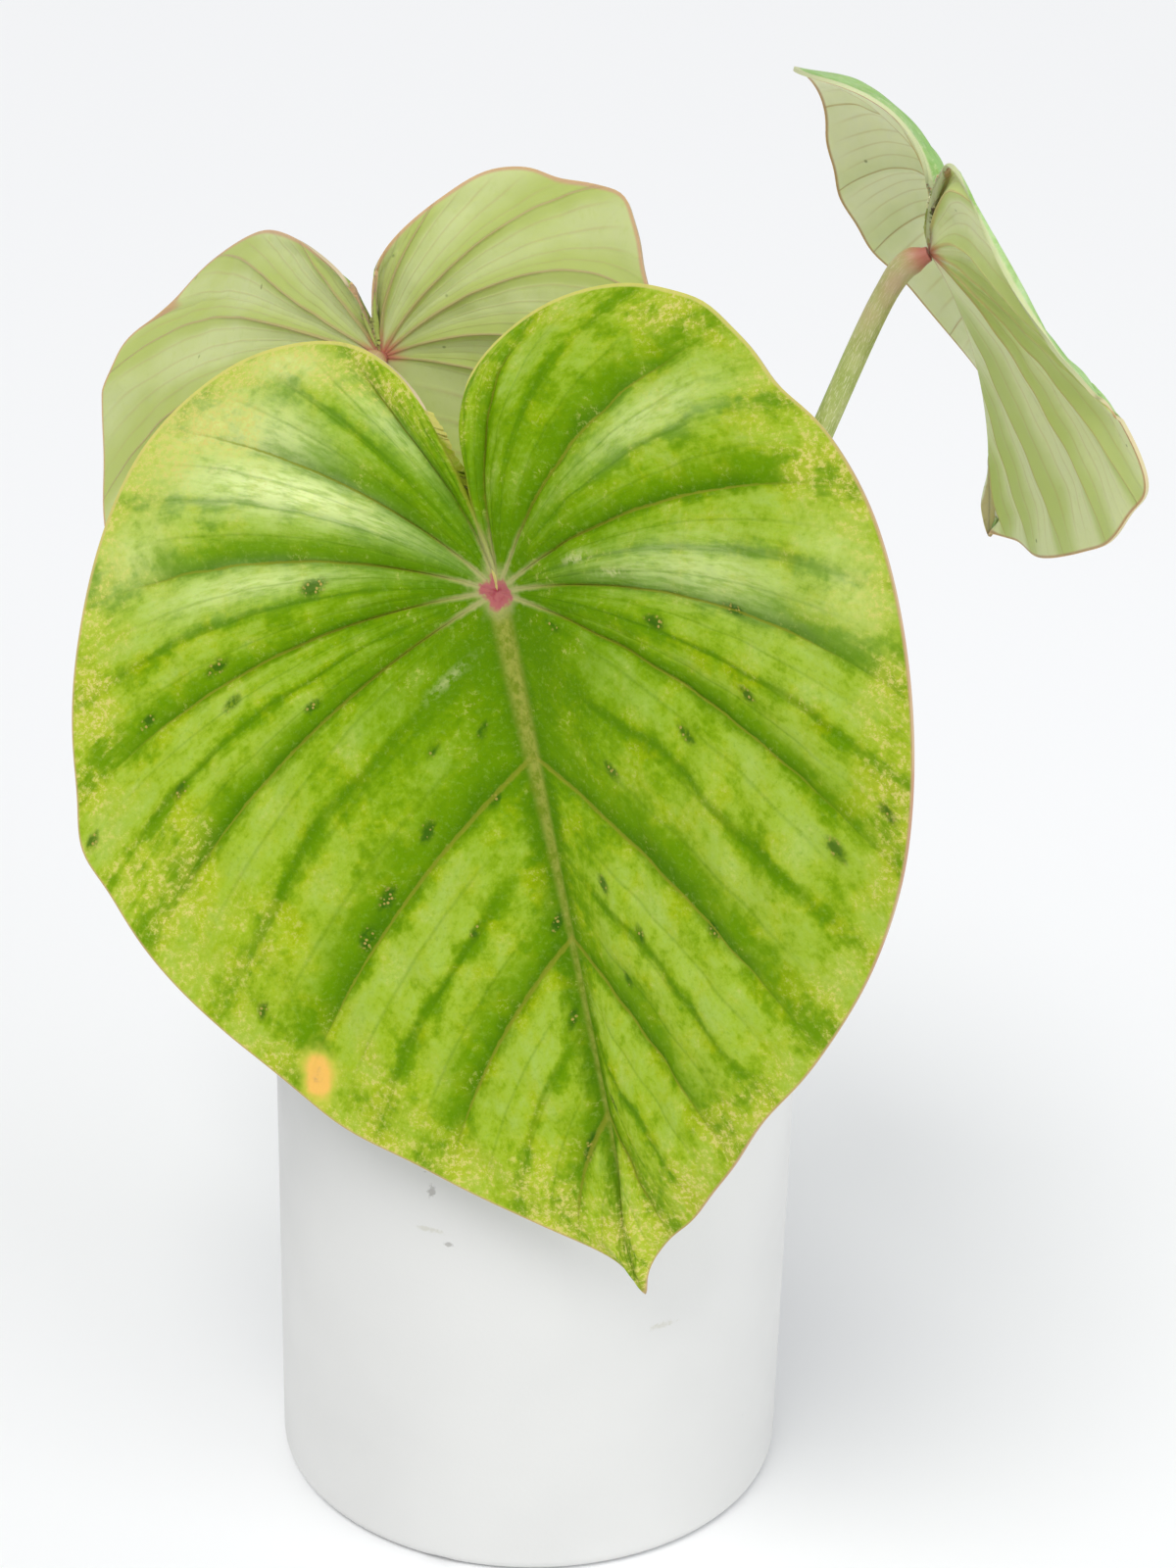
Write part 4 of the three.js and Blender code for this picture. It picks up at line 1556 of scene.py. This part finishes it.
@dataclass(frozen=True)
class CreepingStem:
    """The short creeping stem that lies half sunk in the soil, ringed by old leaf scars."""

    material: Material
    stops: tuple[Point, ...] = ((-27, 13, 108), (-16, 9, 113), (0, 4, 114.5), (14, -1, 113.5), (22, -5, 111))
    radius: float = 8.0
    ring_height: float = 0.8
    ring_pitch: float = 9.0
    roughness: float = 0.22
    steps: int = 150
    sides: int = 56

    def build(self) -> None:
        """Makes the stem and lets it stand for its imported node."""
        line, run = smooth_route(np.array(self.stops, float), self.steps)
        from_end = np.minimum(run, run[-1] - run)
        dome = np.sqrt(np.clip(1.0 - (1.0 - (from_end + 1.0) / self.radius) ** 2, 0.0, 1.0))
        dome = np.where(from_end < self.radius, dome, 1.0)
        ring = np.cos(FULL_TURN * run / self.ring_pitch) ** 8
        around = round_steps(self.sides)
        rough = self.roughness * ripple(run[:, None], 8.0 * np.cos(around) + 3.0 * np.sin(around), 5.0, 4)
        reach = (self.radius + self.ring_height * ring)[:, None] + rough
        bar, row, _ = bar_along("creeping_stem", line, reach * dome[:, None])
        paint(bar, "ring", ring[row])
        close_bar(bar)
        finish(bar, 60.0, self.material)
        stand_for(bar, "rhizome")


# The pot and its soil


@dataclass(frozen=True)
class LooseKind:
    """One kind of lump on the soil: how many, its least and greatest sizes in mm, and how broken it is."""

    name: str
    count: int
    least: Point
    greatest: Point
    jitter: float
    lump_seed: int
    seed: int
    material: Material


@dataclass(frozen=True)
class PottingMix:
    """The soil that fills the pot, with loose pieces and fibres lying on it."""

    soil: Material
    fibre: Material
    lumps: tuple[LooseKind, ...]
    level: float = 112.0
    dome: float = 2.5
    relief: float = 1.3
    radius: float = 58.6
    floor: float = 6.5
    floor_share: float = 0.93
    cells: int = 150
    fibres: int = 60
    fibre_seed: int = 14
    stem_clear: float = 9.0
    stem_reach: float = 31.0
    rim_clear: float = 3.5
    raised: float = 0.2
    tumble: float = 0.3
    fibre_rim_clear: float = 9.0
    fibre_lengths: tuple[float, float] = (6.0, 15.0)
    fibre_bow: float = 0.12
    fibre_radii: tuple[float, float] = (0.14, 0.26)
    fibre_raised: float = 0.9
    fibre_places: int = 9
    fibre_sides: int = 5

    def height(self, x: Array, y: Array) -> Array:
        """The uneven height of the mix over a place, in mm.

        Args:
            x: The place to the right.
            y: The place to the back.

        Returns:
            The height above the pot's base.
        """
        rough = np.sin(x * 0.31 + 1.7) * np.cos(y * 0.27 - 0.4) + 0.6 * np.sin(x * 0.13 - y * 0.41 + 0.9)
        rough = rough + 0.4 * np.cos(x * 0.53 + y * 0.47)
        spread = np.hypot(x, y) / self.radius
        return self.level + self.dome * (1.0 - spread * spread) * 0.5 + self.relief * rough / 2.0

    def under_stem(self, x: float, y: float, aside: float = 0.0, along: float = 0.0) -> bool:
        """Whether a place lies under the creeping stem, or so near it."""
        return abs(y - 4.0 + 0.35 * x) < self.stem_clear + aside and abs(x + 2.0) < self.stem_reach + along

    def bed(self) -> None:
        """The soil's own body: a crumbled disc drawn down to the pot's floor."""
        grid, right, back = new_grid(self.cells, self.cells)
        u, v = 2.0 * right - 1.0, 2.0 * back - 1.0
        x = self.radius * u * np.sqrt(1.0 - v * v / 2.0)
        y = self.radius * v * np.sqrt(1.0 - u * u / 2.0)
        crumbs = 0.5 * ripple(x, y, 3.2, 21) + 0.35 * ripple(x, y, 1.7, 22)
        set_points(grid, np.stack((x, y, self.height(x, y) + crumbs), axis=-1) * MM)
        select_rim(grid)
        bpy.ops.mesh.extrude_region_move()
        close_edit()
        places = read_points(grid)
        skirt = np.array([vertex.select for vertex in grid.data.vertices])
        places[skirt, 2] = self.floor * MM
        places[skirt, :2] *= self.floor_share
        set_points(grid, places)
        cap(grid)
        grid.name = "potting_mix"
        finish(grid, 70.0, self.soil)
        stand_for(grid, "soil")

    def lay(self, pieces: list[Piece], name: str, crisp: float, material: Material) -> None:
        """Joins loose pieces into one that rides on the soil.

        Args:
            pieces: The loose pieces.
            name: The name of the whole.
            crisp: Edges sharper than this angle, in degrees, stay crisp.
            material: What they are made of.
        """
        whole = joined(pieces, name)
        finish(whole, crisp, material)
        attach(whole, "root")
        log.info("%s: %d pieces", name, len(pieces))

    def scatter(self, kind: LooseKind) -> None:
        """Lays copies of a broken lump on the soil at random.

        Args:
            kind: The kind of lump.
        """
        pick()
        bpy.ops.mesh.primitive_ico_sphere_add(subdivisions=1, radius=0.5, location=(0, 0, 0))
        lump = bpy.context.object
        places = read_points(lump)
        breaks = np.random.default_rng(kind.lump_seed)
        set_points(lump, places * breaks.uniform(1.0 - kind.jitter, 1.0 + kind.jitter, (len(places), 1)))
        draw = np.random.default_rng(kind.seed)
        copies = []
        while len(copies) < kind.count:
            radius = (self.radius - self.rim_clear) * math.sqrt(draw.uniform(0.0, 1.0))
            angle = draw.uniform(0.0, FULL_TURN)
            x, y = radius * math.cos(angle), radius * math.sin(angle)
            if self.under_stem(x, y):
                continue
            size = draw.uniform(kind.least, kind.greatest)
            spot = Matrix.Translation(Vector((x, y, float(self.height(x, y)) + size[2] * self.raised)) * MM)
            turn = Matrix.Rotation(draw.uniform(0.0, FULL_TURN), 4, "Z")
            tip = Matrix.Rotation(draw.normal(0.0, self.tumble), 4, "X")
            tip = tip @ Matrix.Rotation(draw.normal(0.0, self.tumble), 4, "Y")
            copy = lump.copy()
            copy.data = lump.data.copy()
            bpy.context.scene.collection.objects.link(copy)
            copy.data.transform(spot @ turn @ tip @ Matrix.Diagonal((*(size * MM), 1.0)))
            copies.append(copy)
        bpy.data.objects.remove(lump)
        self.lay(copies, kind.name, 35.0, kind.material)

    def scatter_fibres(self) -> None:
        """Lays thin curved fibres on the soil."""
        draw = np.random.default_rng(self.fibre_seed)
        strands = []
        while len(strands) < self.fibres:
            radius = (self.radius - self.fibre_rim_clear) * math.sqrt(draw.uniform(0.0, 1.0))
            angle, heading = draw.uniform(0.0, FULL_TURN, 2)
            x, y = radius * math.cos(angle), radius * math.sin(angle)
            if self.under_stem(x, y, 4.0, 3.0):
                continue
            length, bow = draw.uniform(*self.fibre_lengths), draw.uniform(-self.fibre_bow, self.fibre_bow)
            part = np.linspace(-0.5, 0.5, self.fibre_places)
            bend_by = bow * (1.0 - 4.0 * part**2)
            px = x + length * (part * math.cos(heading) - bend_by * math.sin(heading))
            py = y + length * (part * math.sin(heading) + bend_by * math.cos(heading))
            inside = np.minimum(1.0, (self.radius - 1.5) / np.maximum(np.hypot(px, py), 1e-3))
            px, py = px * inside, py * inside
            line = np.stack((px, py, self.height(px, py) + self.fibre_raised), axis=-1)
            reach = np.full((self.fibre_places, self.fibre_sides), draw.uniform(*self.fibre_radii))
            strand, _, _ = bar_along("strand", line, reach)
            close_bar(strand)
            strands.append(strand)
        self.lay(strands, "coir_fibres", 60.0, self.fibre)

    def build(self) -> None:
        """Makes the soil and what lies on it."""
        self.bed()
        for kind in self.lumps:
            self.scatter(kind)
        self.scatter_fibres()


@dataclass(frozen=True)
class CylinderPot:
    """The plain white pot: a straight wall, soft rims and shallow arched notches in its bottom edge."""

    material: Material
    base_radius: float = 62.5
    rim_radius: float = 63.0
    height: float = 128.0
    wall: float = 4.0
    floor: float = 6.0
    base_rounding: float = 3.6
    rim_rounding: float = 1.8
    inner_rounding: float = 6.0
    sides: int = 192
    notches: int = 3
    first_notch: float = -108.5
    notch_width: float = 11.0
    notch_height: float = 1.6
    notch_depth: float = 5.0

    def round_ring(self, pot: Piece, height: float, radius: float, by: float) -> None:
        """Rounds the ring of edges at a height and a distance from the axis, in mm.

        Args:
            pot: The pot.
            height: The ring's height.
            radius: Its distance from the axis.
            by: The radius of the rounding.
        """
        edit(pot, "EDGE")
        close_edit()
        for edge in pot.data.edges:
            ends = [pot.data.vertices[i].co / MM for i in edge.vertices]
            level = all(abs(end.z - height) < 0.2 for end in ends)
            edge.select = level and all(abs(math.hypot(end.x, end.y) - radius) < 1.0 for end in ends)
        bpy.ops.object.mode_set(mode="EDIT")
        bpy.ops.mesh.bevel(offset=by * MM, offset_type="OFFSET", segments=8, profile=0.5, affect="EDGES")
        close_edit()

    def hollow(self, pot: Piece) -> None:
        """Draws the top face in by the wall and down to the floor.

        Args:
            pot: The pot, still solid.
        """
        edit(pot, "FACE")
        close_edit()
        for face in pot.data.polygons:
            face.select = face.normal.z > 0.9
        bpy.ops.object.mode_set(mode="EDIT")
        bpy.ops.mesh.inset(thickness=self.wall * MM)
        down = (self.floor - self.height) * MM
        bpy.ops.mesh.extrude_region_move(TRANSFORM_OT_translate={"value": (0.0, 0.0, down)})
        drawn_in = (self.base_radius - self.wall) / (self.rim_radius - self.wall)
        bpy.ops.transform.resize(value=(drawn_in, drawn_in, 1.0))
        close_edit()

    def cut_notches(self, pot: Piece) -> None:
        """Cuts the shallow arches in the bottom edge.

        Args:
            pot: The pot.
        """
        arch = (self.notch_width**2 / 4.0 + self.notch_height**2) / (2.0 * self.notch_height)
        for i in range(self.notches):
            angle = math.radians(self.first_notch + i * 360.0 / self.notches)
            x, y = self.base_radius * math.cos(angle), self.base_radius * math.sin(angle)
            pick()
            bpy.ops.mesh.primitive_cylinder_add(
                vertices=160, radius=arch * MM, depth=2.0 * self.notch_depth * MM,
                location=(x * MM, y * MM, (self.notch_height - arch) * MM),
                rotation=(0.0, math.pi / 2.0, angle),
            )
            cutter = bpy.context.object
            apply_modifier(pot, "BOOLEAN", operation="DIFFERENCE", object=cutter, solver="EXACT")
            bpy.data.objects.remove(cutter)

    def build(self) -> None:
        """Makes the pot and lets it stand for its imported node."""
        pick()
        bpy.ops.mesh.primitive_cone_add(
            vertices=self.sides, radius1=self.base_radius * MM, radius2=self.rim_radius * MM,
            depth=self.height * MM, location=(0.0, 0.0, self.height * MM / 2.0),
        )
        pot = bpy.context.object
        bpy.ops.object.transform_apply(location=True, rotation=True, scale=True)
        pot.name = "cylinder_pot"
        self.hollow(pot)
        for height, radius, by in (
            (0.0, self.base_radius, self.base_rounding), (self.height, self.rim_radius, self.rim_rounding),
            (self.height, self.rim_radius - self.wall, self.rim_rounding),
            (self.floor, self.base_radius - self.wall, self.inner_rounding),
        ):
            self.round_ring(pot, height, radius, by)
        self.cut_notches(pot)
        finish(pot, 30.0, self.material)
        stand_for(pot, "pot")


# The studio


@dataclass(frozen=True)
class Studio:
    """The camera at the photograph's angle, soft lights and a plain pale floor."""

    pitch: float = 22.1
    roll: float = 1.48
    place: Point = (0.01093, -0.6392, 0.4371)
    lens: float = 67.5
    sensor: float = 36.0
    floor_size: float = 12.0
    floor_colour: Colour = (0.9, 0.905, 0.915)
    sky: Colour = (0.965, 0.98, 1.0)
    sky_strength: float = 0.61

    def camera(self) -> None:
        """Places the camera and makes it the scene's own."""
        pitch, roll = math.radians(self.pitch), math.radians(self.roll)
        right = Vector((1.0, 0.0, 0.0))
        up = Vector((0.0, math.sin(pitch), math.cos(pitch)))
        forward = Vector((0.0, math.cos(pitch), -math.sin(pitch)))
        data = bpy.data.cameras.new("viewpoint")
        data.lens = self.lens
        data.sensor_fit = "VERTICAL"
        data.sensor_height = self.sensor
        camera = bpy.data.objects.new("viewpoint", data)
        turned_x = right * math.cos(roll) + up * math.sin(roll)
        turned_y = up * math.cos(roll) - right * math.sin(roll)
        basis = Matrix((turned_x, turned_y, -forward)).transposed().to_4x4()
        camera.matrix_world = Matrix.Translation(Vector(self.place)) @ basis
        bpy.context.scene.collection.objects.link(camera)
        bpy.context.scene.camera = camera

    def light(self, name: str, kind: str, place: Point, aim: Point, tint: Colour, **settings: float) -> None:
        """Adds a light that looks from its place to its aim.

        Args:
            name: The light's name.
            kind: "SUN" or "AREA".
            place: Where it hangs, in metres.
            aim: What it shines at.
            tint: Its colour.
            **settings: What else is set on the light.
        """
        data = bpy.data.lights.new(name, kind)
        data.color = tint
        for key, value in settings.items():
            setattr(data, key, value)
        lamp = bpy.data.objects.new(name, data)
        lamp.rotation_euler = (Vector(aim) - Vector(place)).to_track_quat("-Z", "Y").to_euler()
        lamp.location = place
        bpy.context.scene.collection.objects.link(lamp)

    def floor(self) -> None:
        """Lays the floor, which isn't part of the plant."""
        pick()
        bpy.ops.mesh.primitive_plane_add(size=self.floor_size, location=(0.0, 0.0, 0.0))
        floor = bpy.context.object
        floor.name = "pale_floor"
        look = Shading("pale_floor", 0.9, 0.2)
        look.set("Base Color", self.floor_colour)
        floor.data.materials.append(look.material)

    def build(self) -> None:
        """Sets up the camera, lights, floor and sky."""
        scene = bpy.context.scene
        self.camera()
        self.light(
            "window", "SUN", (-0.3, -0.75, 1.2), (0.0, 0.0, 0.0), (1.0, 0.99, 0.97),
            energy=1.55, angle=math.radians(30.0),
        )
        self.light(
            "side_fill", "AREA", (1.3, -0.9, 0.6), (0.0, 0.0, 0.2), (0.98, 0.99, 1.0),
            energy=9.0, size=1.2,
        )
        self.floor()
        world = scene.world or bpy.data.worlds.new("soft_sky")
        scene.world = world
        world.use_nodes = True
        backdrop = world.node_tree.nodes["Background"]
        backdrop.inputs["Color"].default_value = (*self.sky, 1.0)
        backdrop.inputs["Strength"].default_value = self.sky_strength
        scene.view_settings.view_transform = "Standard"


# This plant


def patches(mark: Mark, side: Side, *rows: tuple[float, ...]) -> tuple[Patch, ...]:
    """Patches of one kind on one half, from rows of their places, half sizes and strengths."""
    return tuple(Patch(mark, side, *row) for row in rows)


FRONT_PATCHES = (
    *patches(Mark.BLOTCH, Side.LEFT, (0.724, 0.93, 4.6, 6.6)),
    # Painted sheen highlights on the crests of both halves.
    *patches(
        Mark.SILVER, Side.LEFT, (0.36, 0.55, 7.0, 26.0, 0.95), (0.31, 0.7, 9.0, 14.0, 0.6),
        (0.45, 0.55, 4.0, 22.0, 0.55), (0.22, 0.6, 5.0, 14.0, 0.45),
    ),
    *patches(Mark.SILVER, Side.RIGHT, (0.5, 0.52, 6.0, 22.0, 0.55), (0.36, 0.66, 5.0, 18.0, 0.5)),
    *patches(
        Mark.VEIL, Side.LEFT, (0.32, 0.86, 15.0, 15.0, 0.9), (0.25, 0.9, 12.0, 9.0, 0.8),
        (0.41, 0.9, 10.0, 10.0, 0.5),
    ),
    *patches(Mark.VEIL, Side.RIGHT, (0.48, 0.9, 12.0, 8.0, 0.4)),
    *patches(
        Mark.SPECK, Side.LEFT, (0.464, 0.4, 2.4, 3.4), (0.512, 0.62, 2.0, 3.2), (0.549, 0.58, 1.6, 2.6),
        (0.596, 0.43, 1.5, 2.4), (0.519, 0.8, 1.6, 3.2), (0.691, 0.11, 1.5, 2.0), (0.679, 0.23, 1.5, 2.4),
        (0.552, 0.97, 1.6, 2.6), (0.574, 0.75, 1.4, 2.6), (0.706, 0.32, 2.0, 3.4), (0.722, 0.13, 1.5, 2.4),
        (0.711, 0.49, 2.0, 3.8), (0.714, 0.59, 2.0, 3.4), (0.762, 0.31, 1.4, 2.2), (0.684, 0.9, 1.5, 2.6),
        (0.797, 0.05, 1.6, 2.6), (0.842, 0.09, 1.6, 2.4), (0.899, 0.28, 2.2, 4.2),
    ),
    *patches(
        Mark.SPECK, Side.RIGHT, (0.529, 0.59, 1.5, 3.4), (0.564, 0.4, 1.6, 3.2), (0.586, 0.62, 1.5, 2.4),
        (0.642, 0.14, 1.5, 2.4), (0.646, 0.49, 1.5, 3.4), (0.752, 0.26, 1.6, 2.6), (0.756, 0.42, 1.4, 2.2),
        (0.789, 0.37, 1.4, 2.0), (0.721, 0.63, 1.5, 2.6), (0.632, 0.86, 2.0, 3.6), (0.592, 0.95, 1.6, 2.6),
        (0.874, 0.24, 1.5, 2.2), (0.691, 0.29, 1.6, 3.0),
    ),
    *patches(Mark.SCUFF, Side.LEFT, (0.66, 0.15, 0.7, 6.0, 0.8), (0.356, 0.74, 0.9, 4.0, 0.9)),
    *patches(Mark.SCUFF, Side.RIGHT, (0.473, 0.24, 1.0, 3.0, 0.7), (0.506, 0.32, 1.0, 4.0, 0.7)),
    *patches(
        Mark.AGED, Side.LEFT, (0.32, 0.92, 18.0, 20.0, 0.95), (0.2, 0.85, 14.0, 16.0, 0.75),
        (0.48, 0.97, 18.0, 12.0, 0.6), (0.6, 0.86, 16.0, 14.0, 0.65), (0.66, 0.8, 16.0, 16.0, 0.5),
        (0.76, 0.8, 14.0, 14.0, 0.45), (0.88, 0.85, 16.0, 12.0, 0.75),
    ),
    *patches(
        Mark.AGED, Side.RIGHT, (0.42, 0.95, 18.0, 12.0, 0.55), (0.56, 0.97, 18.0, 10.0, 0.5),
        (0.8, 0.95, 20.0, 8.0, 0.45), (0.3, 0.92, 10.0, 8.0, 0.5),
    ),
)

FRONT_LEAF = LeafShape(
    name="front", length=FULL_LENGTH, junction=(-9.0, -50.0, 241.0), turn=-30.5, tilt=14.8, roll=18.0,
    droop=20.0, lift=-37.0, lean=-0.076, bow=0.03,
    left=BladeHalf(
        width=1.075, fold=10.0, curl=12.5, lobe_fold=-9.5, lobe_curl=-11.0,
        bumps=((0.55, 0.02, 0.022), (0.745, 0.035, 0.018)),
    ),
    right=BladeHalf(
        width=1.035, fold=10.5, curl=-6.5, lobe_fold=-20.5, lobe_curl=34.5,
        bumps=((0.31, 0.02, 0.016), (0.37, 0.018, -0.022), (0.775, 0.03, -0.013), (0.865, 0.025, 0.009)),
    ),
    wave_height=1.4, wave_phase=0.6,
    stalk=((15, -2, 114), (15, -9, 135), (11, -16, 168), (6, -26, 207), (0, -37, 232)),
    seed=31, patches=FRONT_PATCHES,
)
BACK_LEAF = LeafShape(
    name="back", length=118.5, junction=(-39.5, 32.0, 270.5), turn=158.0, tilt=8.0, roll=-16.5,
    droop=35.5, lift=-7.5, twist=-23.5, lean=-0.03, lobe_length=0.65, sweep=26.0,
    left=BladeHalf(
        width=1.18, fold=4.5, curl=-44.0, lobe_fold=60.5, lobe_curl=30.0,
        bumps=((0.235, 0.025, 0.034), (0.3, 0.022, -0.036), (0.345, 0.014, 0.02), (0.395, 0.02, -0.012)),
    ),
    right=BladeHalf(
        width=1.39, lobe=0.94, fold=-1.0, curl=27.5, lobe_fold=27.0, lobe_curl=62.0,
        bumps=((0.366, 0.018, -0.035), (0.403, 0.016, 0.03), (0.5, 0.03, -0.012)),
    ),
    wave_height=1.2, wave_phase=2.4, quilt=1.8,
    stalk=((-17, 9, 114), (-20, 3, 136), (-29, -5, 172), (-40, -1, 215), (-46, 11, 250)),
    seed=32,
)
RIGHT_LEAF = LeafShape(
    name="right", length=92.1, junction=(82.8, 0.0, 304.8), turn=43.6, tilt=-13.0, roll=31.0,
    droop=-3.0, lift=81.5, twist=8.5, lean=0.03, bow=0.08, lobe_length=1.29,
    left=BladeHalf(
        width=1.31, fold=76.0, curl=5.5, lobe_fold=-30.5, lobe_curl=78.0,
        bumps=(
            (0.42, 0.035, -0.065), (0.505, 0.035, 0.05), (0.67, 0.05, -0.018), (0.81, 0.06, 0.03),
            (0.9, 0.05, 0.03),
        ),
        roll=MarginRoll(
            angle=-150.0, start_across=0.94, stretch=1.35, start=0.02, full=0.07, fade=0.2, end=0.44,
        ),
    ),
    right=BladeHalf(
        width=1.11, lobe=0.59, fold=-20.0, curl=-160.0, lobe_fold=-72.0, lobe_curl=94.0,
        bumps=((0.5, 0.03, -0.024), (0.615, 0.03, 0.03)),
    ),
    tip_fold=11.5, tip_curl=-54.5, waves=5.0, wave_height=0.8, wave_phase=1.2,
    stalk=((4, 3, 115), (10, 1, 137), (28, -2, 177), (50, -1, 233), (61.5, 0, 265), (74, 1.5, 296)),
    seed=33, arrival=(0.85, -0.2, 0.5),
)

YOUNG = UpperFinish(lime=(0.2, 0.42, 0.03), yellow=(0.36, 0.5, 0.06), cream=(0.46, 0.54, 0.14))
# Pale mint palette for the right leaf's upper face: painted sheen, its greens paled as by the sky glancing off
# it.
SHEEN_MINT = UpperFinish(
    deep=(0.2, 0.38, 0.09), green=(0.27, 0.46, 0.13), leafy=(0.33, 0.52, 0.2), lime=(0.4, 0.58, 0.26),
    glow=(0.42, 0.58, 0.2), pillow=(0.45, 0.63, 0.34), yellow=(0.5, 0.6, 0.3), cream=(0.6, 0.62, 0.36),
)
LIT_UNDER = UnderFinish(through=0.5, glow=(0.9, 1.0, 0.3))
# Its right half carries a painted sheen haze.
BRIGHT_UNDER = UnderFinish(
    sage=(0.58, 0.66, 0.23), pale=(0.76, 0.8, 0.48), vein=(0.56, 0.44, 0.18), ridge_shading=0.4, sheen_haze=0.7,
    through=0.75, glow=(1.0, 1.0, 0.6),
)
FAINT_EDGE = EdgeFinish(pink=(0.6, 0.5, 0.28), cream=(0.56, 0.62, 0.34))
LEAVES = (
    (FRONT_LEAF, (UpperFinish(), UnderFinish(), EdgeFinish())),
    (BACK_LEAF, (YOUNG, LIT_UNDER, EdgeFinish())),
    (RIGHT_LEAF, (SHEEN_MINT, BRIGHT_UNDER, FAINT_EDGE)),
)


def build_soil() -> None:
    """Makes the potting mix with its bark chips, pumice grit and coir fibres."""
    pumice = LooseFinish("pumice", (0.42, 0.4, 0.36), (0.72, 0.7, 0.66), 1.0, 0.9).material()
    coir = LooseFinish("coir", (0.12, 0.07, 0.035), (0.3, 0.18, 0.09), 1.0, 0.9).material()
    bark_chips = LooseKind(
        "bark_chips", 300, (3.0, 2.0, 1.2), (8.5, 5.0, 3.2), jitter=0.28, lump_seed=5, seed=11,
        material=LooseFinish().material(),
    )
    grit = LooseKind(
        "pumice_grit", 90, (1.4, 1.4, 1.2), (3.4, 3.0, 2.6), jitter=0.16, lump_seed=8, seed=12,
        material=pumice,
    )
    PottingMix(SoilFinish().material(), coir, (bark_chips, grit)).build()


def main() -> None:
    """Builds the studio, the pot and the plant."""
    Studio().build()
    CylinderPot(GlazeFinish().material()).build()
    build_soil()
    CreepingStem(StemFinish().material()).build()
    stalk_material = StalkFinish().material()
    for leaf, finishes in LEAVES:
        LeafBlade(LeafSurface(leaf), tuple(look.material(leaf) for look in finishes)).build()
        LeafStalk(leaf, stalk_material).build()


if __name__ == "__main__":
    main()
